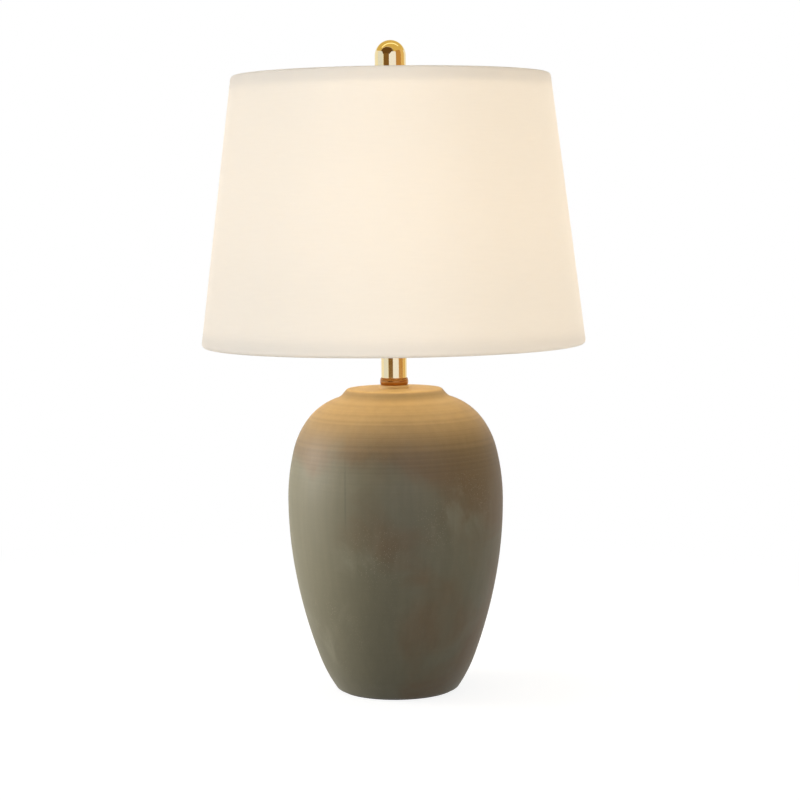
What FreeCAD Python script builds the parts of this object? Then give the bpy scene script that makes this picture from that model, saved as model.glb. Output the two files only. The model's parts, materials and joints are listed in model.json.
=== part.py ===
# Ceramic table lamp: a glazed jar with a brass neck, a turn-knob socket and an LED bulb, and a
# tapered cloth shade that hangs on a harp and is held down by a brass finial.
# The origin is the middle of the felt under the foot, and +Z is up. The cord leaves at the back, +Y.
import FreeCAD, Part
import math
import os
import re
import Sketcher

# Driving sizes in millimetres, from the table up. Names that end in tilt or angle are in degrees.
sizes = {
    # Felt and jar
    "felt_thickness": 1.0,
    "felt_inset": 1.0,
    "jar_radius": 92.9,
    "jar_height": 261.2,
    "jar_wall": 6.0,
    "jar_ceiling": 10.0,
    "floor_thickness": 6.0,
    "floor_hole_radius": 12.0,
    "foot_radius": 50.1,
    "foot_edge_out": 3.6,
    "foot_edge_rise": 2.0,
    "collar_radius": 39.0,
    "collar_foot_radius": 49.5,
    "collar_height": 8.1,
    "boss_radius": 12.7,
    "boss_height": 2.8,
    "boss_round": 1.0,
    # Cord inlet
    "grommet_bore_radius": 3.3,
    "grommet_wall": 1.8,
    "grommet_fit": 0.1,
    "grommet_tail": 1.0,
    "grommet_flange_width": 1.6,
    "grommet_flange_thickness": 1.6,
    "spot_face_margin": 0.4,
    "spot_face_rise": 0.3,
    # Threaded pipe and what clamps it under the jar's floor
    "pipe_radius": 4.85,
    "pipe_wall": 1.75,
    "pipe_clearance": 0.35,
    "pipe_tail": 3.0,
    "pipe_head": 6.6,
    "washer_radius": 24.0,
    "washer_thickness": 1.6,
    "lock_washer_radius": 8.2,
    "lock_washer_thickness": 1.6,
    "lock_washer_slit": 1.2,
    "nut_across_flats": 14.3,
    "nut_thickness": 5.0,
    # Brass neck
    "ring_radius": 12.25,
    "ring_waist": 11.35,
    "ring_height": 6.5,
    "tube_radius": 11.1,
    "tube_wall": 1.0,
    "tube_length": 26.5,
    "spigot_height": 3.0,
    "spigot_fit": 0.15,
    "neck_cap_radius": 11.9,
    "neck_cap_thickness": 1.5,
    "neck_cap_round": 0.6,
    # Harp saddle
    "saddle_span": 72.0,
    "saddle_thickness": 1.6,
    "saddle_width": 12.7,
    "saddle_bend": 4.0,
    "saddle_rise": 13.0,
    "post_radius": 3.4,
    "post_foot": 8.0,
    "post_top": 19.0,
    "pin_height": 7.0,
    # Socket
    "socket_hub_radius": 8.0,
    "socket_hub_height": 6.0,
    "thread_fit": 0.1,
    "cup_radius": 17.0,
    "cup_wall": 0.8,
    "cup_belly": 7.0,
    "cup_height": 18.0,
    "shell_fit": 0.2,
    "shell_wall": 0.6,
    "shell_insert": 3.5,
    "shell_length": 41.0,
    "shell_bead": 0.8,
    "liner_fit": 0.1,
    "liner_wall": 0.4,
    "liner_margin": 1.0,
    "interior_base": 16.0,
    "interior_height": 15.0,
    "interior_edge": 0.8,
    "terminal_flat": 11.3,
    "terminal_level": 20.5,
    "terminal_recess_height": 9.0,
    "terminal_recess_width": 9.0,
    "terminal_head_radius": 2.6,
    "terminal_head_thickness": 1.3,
    "terminal_shank_radius": 1.6,
    "terminal_shank_length": 5.0,
    "screw_slot_width": 0.7,
    "screw_slot_depth": 0.6,
    "screw_shell_bore_radius": 13.35,
    "screw_shell_wall": 0.4,
    "screw_shell_height": 22.0,
    "screw_shell_lip": 2.3,
    "contact_width": 5.0,
    "contact_thickness": 0.5,
    "contact_rise": 1.6,
    "contact_reach": 8.0,
    "contact_flat": 4.8,
    "contact_tip_back": 1.6,
    "contact_tip_front": 2.4,
    "set_screw_head_radius": 2.6,
    "set_screw_head_height": 1.8,
    # Switch
    "switch_level": 24.0,
    "shaft_radius": 1.6,
    "shaft_fit": 0.06,
    "shaft_root": 4.0,
    "shaft_collar_radius": 3.6,
    "shaft_collar_start": 15.2,
    "shaft_collar_thickness": 2.4,
    "switch_hole_radius": 4.2,
    "knob_start": 18.4,
    "knob_radius": 6.2,
    "knob_neck_radius": 4.0,
    "knob_neck_height": 1.8,
    "knob_cone_height": 1.4,
    "knob_height": 11.6,
    "knob_round": 1.4,
    "knob_bore_depth": 8.0,
    "knob_flute_radius": 1.0,
    "knob_flute_out": 0.35,
    "knob_flute_count": 12,
    # Bulb
    "bulb_gap": 0.3,
    "bulb_radius": 30.0,
    "bulb_length": 107.0,
    "bulb_wall": 1.2,
    "bulb_contact_radius": 4.75,
    "bulb_contact_height": 1.2,
    "bulb_insulator_height": 3.5,
    "bulb_insulator_foot": 5.5,
    "bulb_base_radius": 13.0,
    "bulb_base_wall": 0.4,
    "bulb_base_height": 21.3,
    "bulb_base_lip": 1.6,
    "heat_body_plug": 4.0,
    "heat_body_height": 31.0,
    "heat_body_top_radius": 27.4,
    "heat_body_ledge": 1.6,
    "globe_seat_step": 0.6,
    # Harp
    "wire_radius": 2.0,
    "harp_height": 211.2,
    "harp_half_width": 57.0,
    "harp_shoulder_radius": 45.0,
    "harp_flare_height": 70.0,
    "leg_spare": 1.0,
    "ferrule_wall": 1.4,
    "ferrule_fit": 0.08,
    "ferrule_length": 14.0,
    "ferrule_travel": 15.0,
    "ferrule_round": 0.8,
    "crown_radius": 8.5,
    "crown_thickness": 4.6,
    "stud_pin_radius": 2.4,
    "stud_fit": 0.05,
    "swivel_play": 0.1,
    "rivet_head_radius": 3.8,
    "rivet_head_thickness": 1.2,
    "stud_flange_radius": 7.5,
    "stud_flange_thickness": 2.5,
    "stud_thread_radius": 3.1,
    "stud_thread_length": 14.0,
    "stud_chamfer": 0.6,
    # Shade
    "shade_top_radius": 135.9,
    "shade_bottom_radius": 165.0,
    "shade_height": 229.85,
    "shade_recess": 14.05,
    "hub_radius": 12.0,
    "hub_hole_radius": 4.0,
    "hub_thickness": 2.5,
    "hub_edge": 0.5,
    "arm_radius": 1.8,
    "arm_bend_out": 9.9,
    "arm_bend_rise": 4.1,
    "arm_notch_margin": 0.4,
    "arm_count": 3,
    "arm_first_angle": 90,
    "rim_wire_radius": 1.8,
    "rim_wire_fit": 0.5,
    "cover_thickness": 0.8,
    "panel_gap": 0.35,
    "panel_thickness": 0.5,
    "panel_margin": 0.6,
    "hem_length": 9.0,
    # Finial
    "finial_radius": 13.35,
    "finial_height": 41.1,
    "finial_wall": 2.6,
    "finial_edge": 1.5,
    "finial_flange_radius": 11.4,
    "finial_flange_thickness": 2.4,
    "finial_flange_round": 0.8,
    "finial_plug_height": 8.0,
    "finial_plug_fit": 0.05,
    "finial_thread_fit": 0.1,
    # Shared by all cuts
    "overrun": 1.0,
}

# The jar's widest place, as a share of its height.
belly_share = 0.634

# Points of the jar's side, away from the widest place: shares of its radius and height, then the
# shares of the wall by which the inside lies nearer the axis and nearer the widest place's height.
shoulder_shares = [(0.9424, 0.8002, 0.970, 0.242), (0.8167, 0.8959, 0.808, 0.589)]
flank_shares = [(0.9344, 0.3790, 0.984, 0.181), (0.7268, 0.1110, 0.937, 0.349)]
shoulder_top_shares = (0.310, 0.950)

# Points of the collar's side, as shares of its spread and of its height, from its top edge down.
collar_shares = [(0.286, 0.177), (0.533, 0.568)]

doc = FreeCAD.newDocument("table_lamp")
sheet = doc.addObject("Spreadsheet::Sheet", "Sizes")
for row, (word, size) in enumerate(sizes.items(), start=1):
    sheet.set(f"A{row}", word)
    sheet.set(f"B{row}", str(size))
    sheet.setAlias(f"B{row}", word)
doc.recompute()

parts = []


# Sizes from the sheet

def linked(text):
    """An expression in which each size's word points at its cell in the sheet."""
    return re.sub(r"[a-z_]+", lambda word: "Sizes." + word[0] if word[0] in sizes else word[0], text)


def value(text):
    """The present value of an expression."""
    result = sheet.evalExpression(linked(text))
    return float(getattr(result, "Value", result))


def bind(thing, setting, text):
    """Tie one setting of an object to an expression on the sheet."""
    thing.setExpression(setting, linked(text))


def total(*texts):
    """The sum of several expressions, in brackets."""
    return "(" + " + ".join(texts) + ")"


# Heights above the table at which the pieces are seated
foot_level = "felt_thickness"
jar_top = total(foot_level, "jar_height")
ring_seat = total(jar_top, "boss_height")
tube_seat = total(ring_seat, "ring_height")
neck_cap_seat = total(tube_seat, "tube_length")
saddle_seat = total(neck_cap_seat, "neck_cap_thickness")
socket_seat = total(saddle_seat, "saddle_thickness")
interior_top = total("interior_base", "interior_height")
bulb_seat = total(socket_seat, interior_top, "contact_rise", "contact_thickness", "bulb_gap")
crown_top = total(saddle_seat, "harp_height", "crown_thickness / 2")
shade_seat = total(crown_top, "swivel_play", "stud_flange_thickness")
finial_seat = total(shade_seat, "hub_thickness")

# Sizes that several pieces share
floor_top = f"(jar_height * {flank_shares[-1][1]} + jar_wall * {flank_shares[-1][3]})"
floor_under = f"({floor_top} - floor_thickness)"
grommet_radius = "(grommet_bore_radius + grommet_wall)"
cord_hole_radius = f"({grommet_radius} + grommet_fit)"
pipe_hole_radius = "(pipe_radius + pipe_clearance)"
spigot_radius = "(tube_radius - tube_wall - spigot_fit)"
shell_radius = "(cup_radius - cup_wall - shell_fit)"
shell_base = "(cup_height - shell_insert)"
liner_radius = f"({shell_radius} - shell_wall - liner_fit)"
interior_radius = f"({liner_radius} - liner_wall - liner_fit)"
pin_top = "(post_top + pin_height)"
ferrule_bore_radius = "(wire_radius + ferrule_fit)"
globe_foot = "(bulb_contact_height + bulb_insulator_height + bulb_base_height + heat_body_height)"

# The foot's chamfer-like flank, where the cord leaves: its two ends, its middle and its lean
flank_foot = ("(foot_radius + foot_edge_out)", "foot_edge_rise")
flank_head = (f"(jar_radius * {flank_shares[-1][0]})", f"(jar_height * {flank_shares[-1][1]})")
flank_slope = f"(({flank_head[0]} - {flank_foot[0]}) / ({flank_head[1]} - {flank_foot[1]}))"
flank_middle = (f"(({flank_head[0]} + {flank_foot[0]}) / 2)", f"(({flank_head[1]} + {flank_foot[1]}) / 2)")
cord_tilt = f"atan({flank_slope})"

# The shade's side leans in by this much for each millimetre of height
shade_lean = "((shade_bottom_radius - shade_top_radius) / shade_height)"
roll_radius = "(rim_wire_radius + rim_wire_fit + cover_thickness)"
shade_foot = "(shade_recess - shade_height)"
arm_level = "(hub_thickness / 2)"
# The shade's wires, sheet and cloth all have their joins at the first arm
behind = {"about": (0, 0, 1), "angle": "arm_first_angle"}


# Drawing

def origin_plane(body, role):
    """One of the body's own origin planes or axes."""
    return next(feature for feature in body.Origin.OriginFeatures if feature.Role == role)


def new_body(name):
    """An empty body whose label names its file."""
    body = doc.addObject("PartDesign::Body", name)
    body.Label = name
    return body


def new_sketch(body, name, role="XZ_Plane", shift=("0", "0", "0"), tilt=None):
    """A sketch on one of the body's origin planes, moved and tilted about its own first axis."""
    sketch = body.newObject("Sketcher::SketchObject", name)
    sketch.AttachmentSupport = (origin_plane(body, role), [""])
    sketch.MapMode = "FlatFace"
    if tilt:
        lean = FreeCAD.Rotation(FreeCAD.Vector(-1, 0, 0), value(tilt))
        sketch.AttachmentOffset = FreeCAD.Placement(FreeCAD.Vector(), lean)
        bind(sketch, "AttachmentOffset.Rotation.Angle", tilt)
    for axis, text in zip("xyz", shift):
        if text != "0":
            bind(sketch, f"AttachmentOffset.Base.{axis}", text)
    return sketch


def hold(sketch, kind, edge, point, text):
    """Hold one coordinate of a point at an expression."""
    index = sketch.addConstraint(Sketcher.Constraint(kind, edge, point, value(text)))
    if text != "0":
        bind(sketch, f"Constraints[{index}]", text)


def set_direction(mark, chord):
    """The direction in which the outline passes an upright or level point, towards the chord."""
    if "upright" in mark:
        return FreeCAD.Vector(0, math.copysign(1, chord.y), 0)
    if "level" in mark:
        return FreeCAD.Vector(math.copysign(1, chord.x), 0, 0)
    return None


def mirrored(direction, chord):
    """The direction at one end of an arc, from the direction at its other end."""
    unit = FreeCAD.Vector(chord).normalize()
    return unit * (2 * direction.dot(unit)) - direction


def solve_arcs(places, marks, ends, closed):
    """The leaving direction of each edge, and what fixes each arc: a point or a neighbour edge."""
    leaving = {}
    fixed_by = {}
    for edge, (start, end) in enumerate(ends):
        if "arc" not in marks[start]:
            leaving[edge] = (places[end] - places[start]).normalize()
    while len(leaving) < len(ends):
        found = len(leaving)
        for edge, (start, end) in enumerate(ends):
            if edge in leaving:
                continue
            chord = places[end] - places[start]
            before = (edge - 1) % len(ends)
            after = (edge + 1) % len(ends)
            if set_direction(marks[start], chord):
                leaving[edge] = set_direction(marks[start], chord)
                fixed_by[edge] = ("point", start)
            elif set_direction(marks[end], chord):
                leaving[edge] = mirrored(set_direction(marks[end], chord), chord)
                fixed_by[edge] = ("point", end)
            elif "smooth" in marks[start] and before in leaving and (closed or edge > 0):
                last_chord = places[ends[before][1]] - places[ends[before][0]]
                leaving[edge] = mirrored(leaving[before], last_chord)
                fixed_by[edge] = ("edge", before)
            elif "smooth" in marks[end] and after in leaving and (closed or edge < len(ends) - 1):
                leaving[edge] = mirrored(leaving[after], chord)
                fixed_by[edge] = ("edge", after)
        if len(leaving) == found:
            raise ValueError("an arc of the outline has no direction")
    return leaving, fixed_by


def outline(sketch, points, closed=True):
    """Draw lines and arcs through points that are given as expressions on the sheet.

    A point is (across, up) or (across, up, marks). The mark arc makes the edge that leaves the
    point an arc. The marks smooth, upright and level say how the outline passes the point, and
    each arc takes its direction from one of them.
    """
    marks = [point[2] if len(point) > 2 else "" for point in points]
    places = [FreeCAD.Vector(value(point[0]), value(point[1]), 0) for point in points]
    count = len(points) if closed else len(points) - 1
    ends = [(edge, (edge + 1) % len(points)) for edge in range(count)]
    leaving, fixed_by = solve_arcs(places, marks, ends, closed)
    tips = []
    for edge, (start, end) in enumerate(ends):
        if edge not in fixed_by:
            sketch.addGeometry(Part.LineSegment(places[start], places[end]))
            tips.append((1, 2))
            continue
        chord = places[end] - places[start]
        side = FreeCAD.Vector(-leaving[edge].y, leaving[edge].x, 0)
        bend = 2 * chord.dot(side) / chord.dot(chord)
        centre = places[start] + side / bend
        spokes = (places[start] - centre, places[end] - centre)
        angles = [math.atan2(spoke.y, spoke.x) for spoke in spokes]
        circle = Part.Circle(centre, FreeCAD.Vector(0, 0, 1), abs(1 / bend))
        if bend > 0:
            sketch.addGeometry(Part.ArcOfCircle(circle, angles[0], angles[1]))
            tips.append((1, 2))
        else:
            sketch.addGeometry(Part.ArcOfCircle(circle, angles[1], angles[0]))
            tips.append((2, 1))
    tangents = {tuple(sorted((edge, by))) for edge, (kind, by) in fixed_by.items() if kind == "edge"}
    for edge in range(count if closed else count - 1):
        after = (edge + 1) % count
        kind = "Tangent" if tuple(sorted((edge, after))) in tangents else "Coincident"
        sketch.addConstraint(Sketcher.Constraint(kind, edge, tips[edge][1], after, tips[after][0]))
    for edge, (start, end) in enumerate(ends):
        hold(sketch, "DistanceX", edge, tips[edge][0], points[start][0])
        hold(sketch, "DistanceY", edge, tips[edge][0], points[start][1])
    if not closed:
        hold(sketch, "DistanceX", count - 1, tips[-1][1], points[-1][0])
        hold(sketch, "DistanceY", count - 1, tips[-1][1], points[-1][1])
    for edge, (kind, by) in fixed_by.items():
        if kind == "point" and "upright" in marks[by]:
            hold(sketch, "DistanceY", edge, 3, points[by][1])
        elif kind == "point":
            hold(sketch, "DistanceX", edge, 3, points[by][0])
    return count


def circle(sketch, radius, across="0", up="0"):
    """Draw a circle."""
    centre = FreeCAD.Vector(value(across), value(up), 0)
    edge = sketch.addGeometry(Part.Circle(centre, FreeCAD.Vector(0, 0, 1), value(radius)))
    index = sketch.addConstraint(Sketcher.Constraint("Radius", edge, value(radius)))
    bind(sketch, f"Constraints[{index}]", radius)
    hold(sketch, "DistanceX", edge, 3, across)
    hold(sketch, "DistanceY", edge, 3, up)


def box_outline(sketch, left, right, low, high):
    """Draw a rectangle."""
    outline(sketch, [(left, low), (right, low), (right, high), (left, high)])


# Features

def turn(body, name, points, kind="Revolution"):
    """Turn an outline about the body's Z axis, to add a solid or, as a groove, to cut one."""
    sketch = new_sketch(body, name + "_outline")
    outline(sketch, points)
    feature = body.newObject("PartDesign::" + kind, name)
    feature.Profile = sketch
    feature.ReferenceAxis = (sketch, ["V_Axis"])
    feature.Angle = 360
    return feature


def extrude(body, name, sketch, length, kind="Pad", both_sides=False, turned_round=False):
    """Pad or pocket a sketch by a length, to one side or half to each side."""
    feature = body.newObject("PartDesign::" + kind, name)
    feature.Profile = sketch
    bind(feature, "Length", length)
    feature.SideType = "Symmetric" if both_sides else "One side"
    feature.Reversed = turned_round
    return feature


def repeat(body, name, feature, count):
    """Repeat a feature about the body's Z axis."""
    pattern = body.newObject("PartDesign::PolarPattern", name)
    pattern.Originals = [feature]
    pattern.Axis = (origin_plane(body, "Z_Axis"), [""])
    pattern.Angle = 360
    bind(pattern, "Occurrences", count)
    body.Tip = pattern
    return pattern


def place(thing, up="0", across="0", back="0", about=None, angle="0"):
    """Seat a piece: turn it about an axis and move it, and list it for export."""
    if about:
        turned = FreeCAD.Rotation(FreeCAD.Vector(*about), value(angle))
        thing.Placement = FreeCAD.Placement(FreeCAD.Vector(), turned)
        bind(thing, "Placement.Rotation.Angle", angle)
    for axis, text in (("x", across), ("y", back), ("z", up)):
        if text != "0":
            bind(thing, f"Placement.Base.{axis}", text)
    parts.append(thing)
    return thing


def turned_piece(name, points, **seat):
    """A piece that is one turned solid."""
    body = new_body(name)
    turn(body, name + "_turning", points)
    return place(body, **seat)


def ring_points(bore, radius, low, high):
    """The outline of a plain ring or tube."""
    return [(bore, low), (radius, low), (radius, high), (bore, high)]


# Jar

def ceramic_body():
    """The slip-cast jar: chained arcs outside, an even wall, a floor over a recess, a cord hole."""
    body = new_body("ceramic_body")
    belly = f"jar_height * {belly_share}"
    spread = "(collar_foot_radius - collar_radius)"
    collar = [(f"collar_radius + {spread} * {out}", f"jar_height - collar_height * {down}")
              for out, down in collar_shares]
    outside = [("0", "0"), ("foot_radius", "0", "arc"), (*flank_foot, "arc smooth")]
    outside += [(f"jar_radius * {across}", f"jar_height * {up}", "arc smooth")
                for across, up, _, _ in reversed(flank_shares)]
    outside += [("jar_radius", belly, "arc upright")]
    outside += [(f"jar_radius * {across}", f"jar_height * {up}", "arc smooth")
                for across, up, _, _ in shoulder_shares]
    outside += [("collar_foot_radius", "jar_height - collar_height", "arc")]
    outside += [(*collar[1], "smooth"), (*collar[0], "arc")]
    outside += [("collar_radius", "jar_height", "smooth"), ("boss_radius", "jar_height")]
    outside += [("boss_radius", "jar_height + boss_height - boss_round", "arc smooth")]
    outside += [("boss_radius - boss_round", "jar_height + boss_height"), ("0", "jar_height + boss_height")]
    turn(body, "jar_outside", outside)
    inner_lean = f"(jar_wall * sqrt(1 + {flank_slope} * {flank_slope}))"
    recess_foot = f"{flank_foot[0]} - {inner_lean} - {flank_slope} * ({flank_foot[1]} + overrun)"
    recess_head = f"{flank_foot[0]} - {inner_lean} + {flank_slope} * ({floor_under} - {flank_foot[1]})"
    top_in, top_down = shoulder_top_shares
    inside = [("0", "-overrun"), (recess_foot, "-overrun"), (recess_head, floor_under)]
    inside += [("floor_hole_radius", floor_under), ("floor_hole_radius", floor_top)]
    mark = "arc"
    for across, up, inward, near in reversed(flank_shares):
        inside += [(f"jar_radius * {across} - jar_wall * {inward}",
                    f"jar_height * {up} + jar_wall * {near}", mark)]
        mark = "arc smooth"
    inside += [("jar_radius - jar_wall", belly, "arc upright")]
    inside += [(f"jar_radius * {across} - jar_wall * {inward}", f"jar_height * {up} - jar_wall * {near}",
                "arc smooth") for across, up, inward, near in shoulder_shares]
    inside += [(f"collar_foot_radius - jar_wall * {top_in}",
                f"jar_height - collar_height - jar_wall * {top_down}")]
    inside += [(pipe_hole_radius, "jar_height - jar_ceiling")]
    inside += [(pipe_hole_radius, "jar_height + boss_height + overrun")]
    inside += [("0", "jar_height + boss_height + overrun")]
    turn(body, "jar_inside", inside, "Groove")
    reach = "(jar_wall + grommet_tail + overrun)"
    hole_start = ("0", f"{flank_middle[1]} + {reach} * sin({cord_tilt})",
                  f"-({flank_middle[0]} - {reach} * cos({cord_tilt}))")
    hole = new_sketch(body, "cord_hole_outline", shift=hole_start, tilt=cord_tilt)
    circle(hole, cord_hole_radius)
    extrude(body, "cord_hole", hole, f"{reach} * 2", "Pocket")
    face_start = ("0", f"{flank_middle[1]} - spot_face_rise * sin({cord_tilt})",
                  f"-({flank_middle[0]} + spot_face_rise * cos({cord_tilt}))")
    face = new_sketch(body, "spot_face_outline", shift=face_start, tilt=cord_tilt)
    circle(face, f"{grommet_radius} + grommet_flange_width + spot_face_margin")
    extrude(body, "spot_face", face, reach, "Pocket")
    return place(body, up=foot_level)


def cord_grommet():
    """The bushing of the cord hole, with its flange on the spot face, square to the jar's side."""
    flange = f"({grommet_radius} + grommet_flange_width)"
    tail = "-(jar_wall + grommet_tail + spot_face_rise)"
    points = [("grommet_bore_radius", tail), (grommet_radius, tail), (grommet_radius, "0"), (flange, "0")]
    points += [(flange, "grommet_flange_thickness / 2", "arc smooth")]
    points += [(f"{flange} - grommet_flange_thickness / 2", "grommet_flange_thickness")]
    points += [("grommet_bore_radius", "grommet_flange_thickness")]
    turned_piece("cord_grommet", points, about=(-1, 0, 0), angle=f"90 + {cord_tilt} / 1 deg",
                 up=f"{foot_level} + {flank_middle[1]} - spot_face_rise * sin({cord_tilt})",
                 back=f"{flank_middle[0]} + spot_face_rise * cos({cord_tilt})")


def felt_pad():
    """The felt disc that the lamp stands on."""
    turned_piece("felt_pad", ring_points("0", "foot_radius - felt_inset", "0", "felt_thickness"))


# Pipe and clamping hardware

def clamping_hardware():
    """The pipe through the jar, and the washers and nut that pull it down under the jar's floor."""
    washer_top = total(foot_level, floor_under)
    lock_top = f"({washer_top} - washer_thickness)"
    nut_top = f"({lock_top} - lock_washer_thickness)"
    pipe_foot = f"({nut_top} - nut_thickness - pipe_tail)"
    turned_piece("threaded_pipe", ring_points("pipe_radius - pipe_wall", "pipe_radius", "0",
                                              f"{socket_seat} + pipe_head - {pipe_foot}"), up=pipe_foot)
    turned_piece("bottom_washer", ring_points(pipe_hole_radius, "washer_radius", "-washer_thickness", "0"),
                 up=washer_top)
    lock = new_body("lock_washer")
    turn(lock, "lock_washer_ring",
         ring_points(pipe_hole_radius, "lock_washer_radius", "-lock_washer_thickness", "0"))
    slit = new_sketch(lock, "lock_washer_slit_outline", "XY_Plane")
    box_outline(slit, "0", "lock_washer_radius + overrun", "-lock_washer_slit / 2", "lock_washer_slit / 2")
    extrude(lock, "lock_washer_slit", slit, "lock_washer_thickness + overrun", "Pocket")
    place(lock, up=lock_top)
    block = doc.addObject("Part::Prism", "nut_block")
    block.Polygon = 6
    bind(block, "Circumradius", "nut_across_flats / sqrt(3)")
    bind(block, "Height", "nut_thickness")
    bore = doc.addObject("Part::Cylinder", "nut_bore")
    bind(bore, "Radius", "pipe_radius + thread_fit")
    bind(bore, "Height", "nut_thickness")
    nut = doc.addObject("Part::Cut", "bottom_nut")
    nut.Label = "bottom_nut"
    nut.Base = block
    nut.Tool = bore
    place(nut, up=f"{nut_top} - nut_thickness")


# Neck

def neck():
    """The brass ring on the jar's boss, the tube on the ring, and the cap on the tube."""
    spigot_top = "ring_height + spigot_height"
    points = [(pipe_hole_radius, "0"), ("ring_waist", "0", "arc")]
    points += [("ring_radius", "ring_height / 2", "arc upright"), ("ring_waist", "ring_height")]
    points += [(spigot_radius, "ring_height"), (spigot_radius, spigot_top), (pipe_hole_radius, spigot_top)]
    turned_piece("neck_ring", points, up=ring_seat)
    turned_piece("neck_tube", ring_points("tube_radius - tube_wall", "tube_radius", "0", "tube_length"),
                 up=tube_seat)
    points = [(pipe_hole_radius, "-spigot_height"), (spigot_radius, "-spigot_height")]
    points += [(spigot_radius, "0"), ("neck_cap_radius", "0")]
    points += [("neck_cap_radius", "neck_cap_thickness - neck_cap_round", "arc smooth")]
    points += [("neck_cap_radius - neck_cap_round", "neck_cap_thickness")]
    points += [(pipe_hole_radius, "neck_cap_thickness")]
    turned_piece("neck_cap", points, up=neck_cap_seat)


def harp_saddle():
    """The bent strap under the socket, with a post and a pin at each end for the harp."""
    body = new_body("harp_saddle")
    outer = "(saddle_span / 2 + saddle_thickness / 2)"
    inner = "(saddle_span / 2 - saddle_thickness / 2)"
    corner = f"({outer} - saddle_bend)"
    strap = new_sketch(body, "strap_outline")
    points = [(f"-{outer}", "saddle_rise"), (f"-{outer}", "saddle_bend", "arc smooth"), (f"-{corner}", "0")]
    points += [(corner, "0", "arc smooth"), (outer, "saddle_bend"), (outer, "saddle_rise")]
    points += [(inner, "saddle_rise"), (inner, "saddle_bend", "arc smooth"), (corner, "saddle_thickness")]
    points += [(f"-{corner}", "saddle_thickness", "arc smooth"), (f"-{inner}", "saddle_bend")]
    points += [(f"-{inner}", "saddle_rise")]
    outline(strap, points)
    extrude(body, "strap", strap, "saddle_width", both_sides=True)
    for side, sign in (("left", "-"), ("right", "")):
        post = new_sketch(body, side + "_post_outline", "XY_Plane", ("0", "0", "post_foot"))
        circle(post, "post_radius", f"{sign}saddle_span / 2")
        extrude(body, side + "_post", post, "post_top - post_foot")
        pin = new_sketch(body, side + "_pin_outline", "XY_Plane", ("0", "0", "post_top"))
        circle(pin, "wire_radius", f"{sign}saddle_span / 2")
        extrude(body, side + "_pin", pin, "pin_height")
    hole = new_sketch(body, "saddle_hole_outline", "XY_Plane", ("0", "0", "saddle_thickness"))
    circle(hole, pipe_hole_radius)
    extrude(body, "saddle_hole", hole, "saddle_thickness", "Pocket")
    place(body, up=saddle_seat)


# Socket

def cross_hole(body, name, radius, level, length, forward, start="0"):
    """Cut a level hole from the axis, or from a start beyond it, to the front or to the back."""
    sketch = new_sketch(body, name + "_outline", shift=("0", "0", start))
    circle(sketch, radius, up=level)
    extrude(body, name, sketch, length, "Pocket", turned_round=forward)


def socket_cap():
    """The spun cup of the socket, with the hub that screws on the pipe and a set screw's hole."""
    body = new_body("socket_cap")
    bore = "(pipe_radius + thread_fit)"
    cup_inner = "(cup_radius - cup_wall)"
    belly_top = "socket_hub_height + cup_belly"
    points = [(bore, "0"), ("socket_hub_radius", "0"), ("socket_hub_radius", "socket_hub_height", "arc")]
    points += [("cup_radius", belly_top, "upright"), ("cup_radius", "cup_height"), (cup_inner, "cup_height")]
    points += [(cup_inner, belly_top, "arc upright")]
    points += [("socket_hub_radius", "socket_hub_height + cup_wall"), (bore, "socket_hub_height + cup_wall")]
    turn(body, "cap_turning", points)
    cross_hole(body, "set_screw_hole", "terminal_shank_radius + thread_fit", "socket_hub_height / 2",
               "cup_radius", False)
    place(body, up=socket_seat)


def slotted_screw(name, head_radius, head_height, shank_length):
    """A small slotted screw with the underside of its head at the origin and its head up."""
    body = new_body(name)
    points = [("0", f"-({shank_length})"), ("terminal_shank_radius", f"-({shank_length})")]
    points += [("terminal_shank_radius", "0"), (head_radius, "0")]
    points += [(head_radius, head_height), ("0", head_height)]
    turn(body, name + "_turning", points)
    slot = new_sketch(body, name + "_slot_outline", "XY_Plane", ("0", "0", head_height))
    box_outline(slot, f"-{head_radius} - overrun", f"{head_radius} + overrun",
                "-screw_slot_width / 2", "screw_slot_width / 2")
    extrude(body, name + "_slot", slot, "screw_slot_depth", "Pocket")
    return body


def socket_set_screw():
    """The screw that keeps the socket from turning on the pipe."""
    screw = slotted_screw("socket_set_screw", "set_screw_head_radius", "set_screw_head_height",
                          "socket_hub_radius - pipe_radius - thread_fit")
    place(screw, up=f"{socket_seat} + socket_hub_height / 2", back="socket_hub_radius", about=(-1, 0, 0),
          angle="90")


def socket_shell():
    """The drawn shell of the socket: a bead that rests on the cap's rim, and a rolled mouth."""
    body = new_body("socket_shell")
    inner = f"({shell_radius} - shell_wall)"
    shell_top = total(shell_base, "shell_length")
    points = [(inner, shell_base), (shell_radius, shell_base), (shell_radius, "cup_height", "arc level")]
    points += [(shell_radius, "cup_height + shell_bead * 2")]
    points += [(shell_radius, f"{shell_top} - shell_bead * 2", "arc level"), (shell_radius, shell_top)]
    points += [(inner, shell_top)]
    turn(body, "shell_turning", points)
    cross_hole(body, "switch_hole", "switch_hole_radius", "switch_level", "cup_radius", True)
    place(body, up=socket_seat)


def socket_liner():
    """The card sleeve that insulates the shell."""
    body = new_body("socket_liner")
    points = ring_points(f"{liner_radius} - liner_wall", liner_radius, f"{shell_base} + liner_margin",
                         f"{shell_base} + shell_length - liner_margin")
    turn(body, "liner_turning", points)
    cross_hole(body, "liner_switch_hole", "switch_hole_radius", "switch_level", "cup_radius", True)
    place(body, up=socket_seat)


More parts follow.
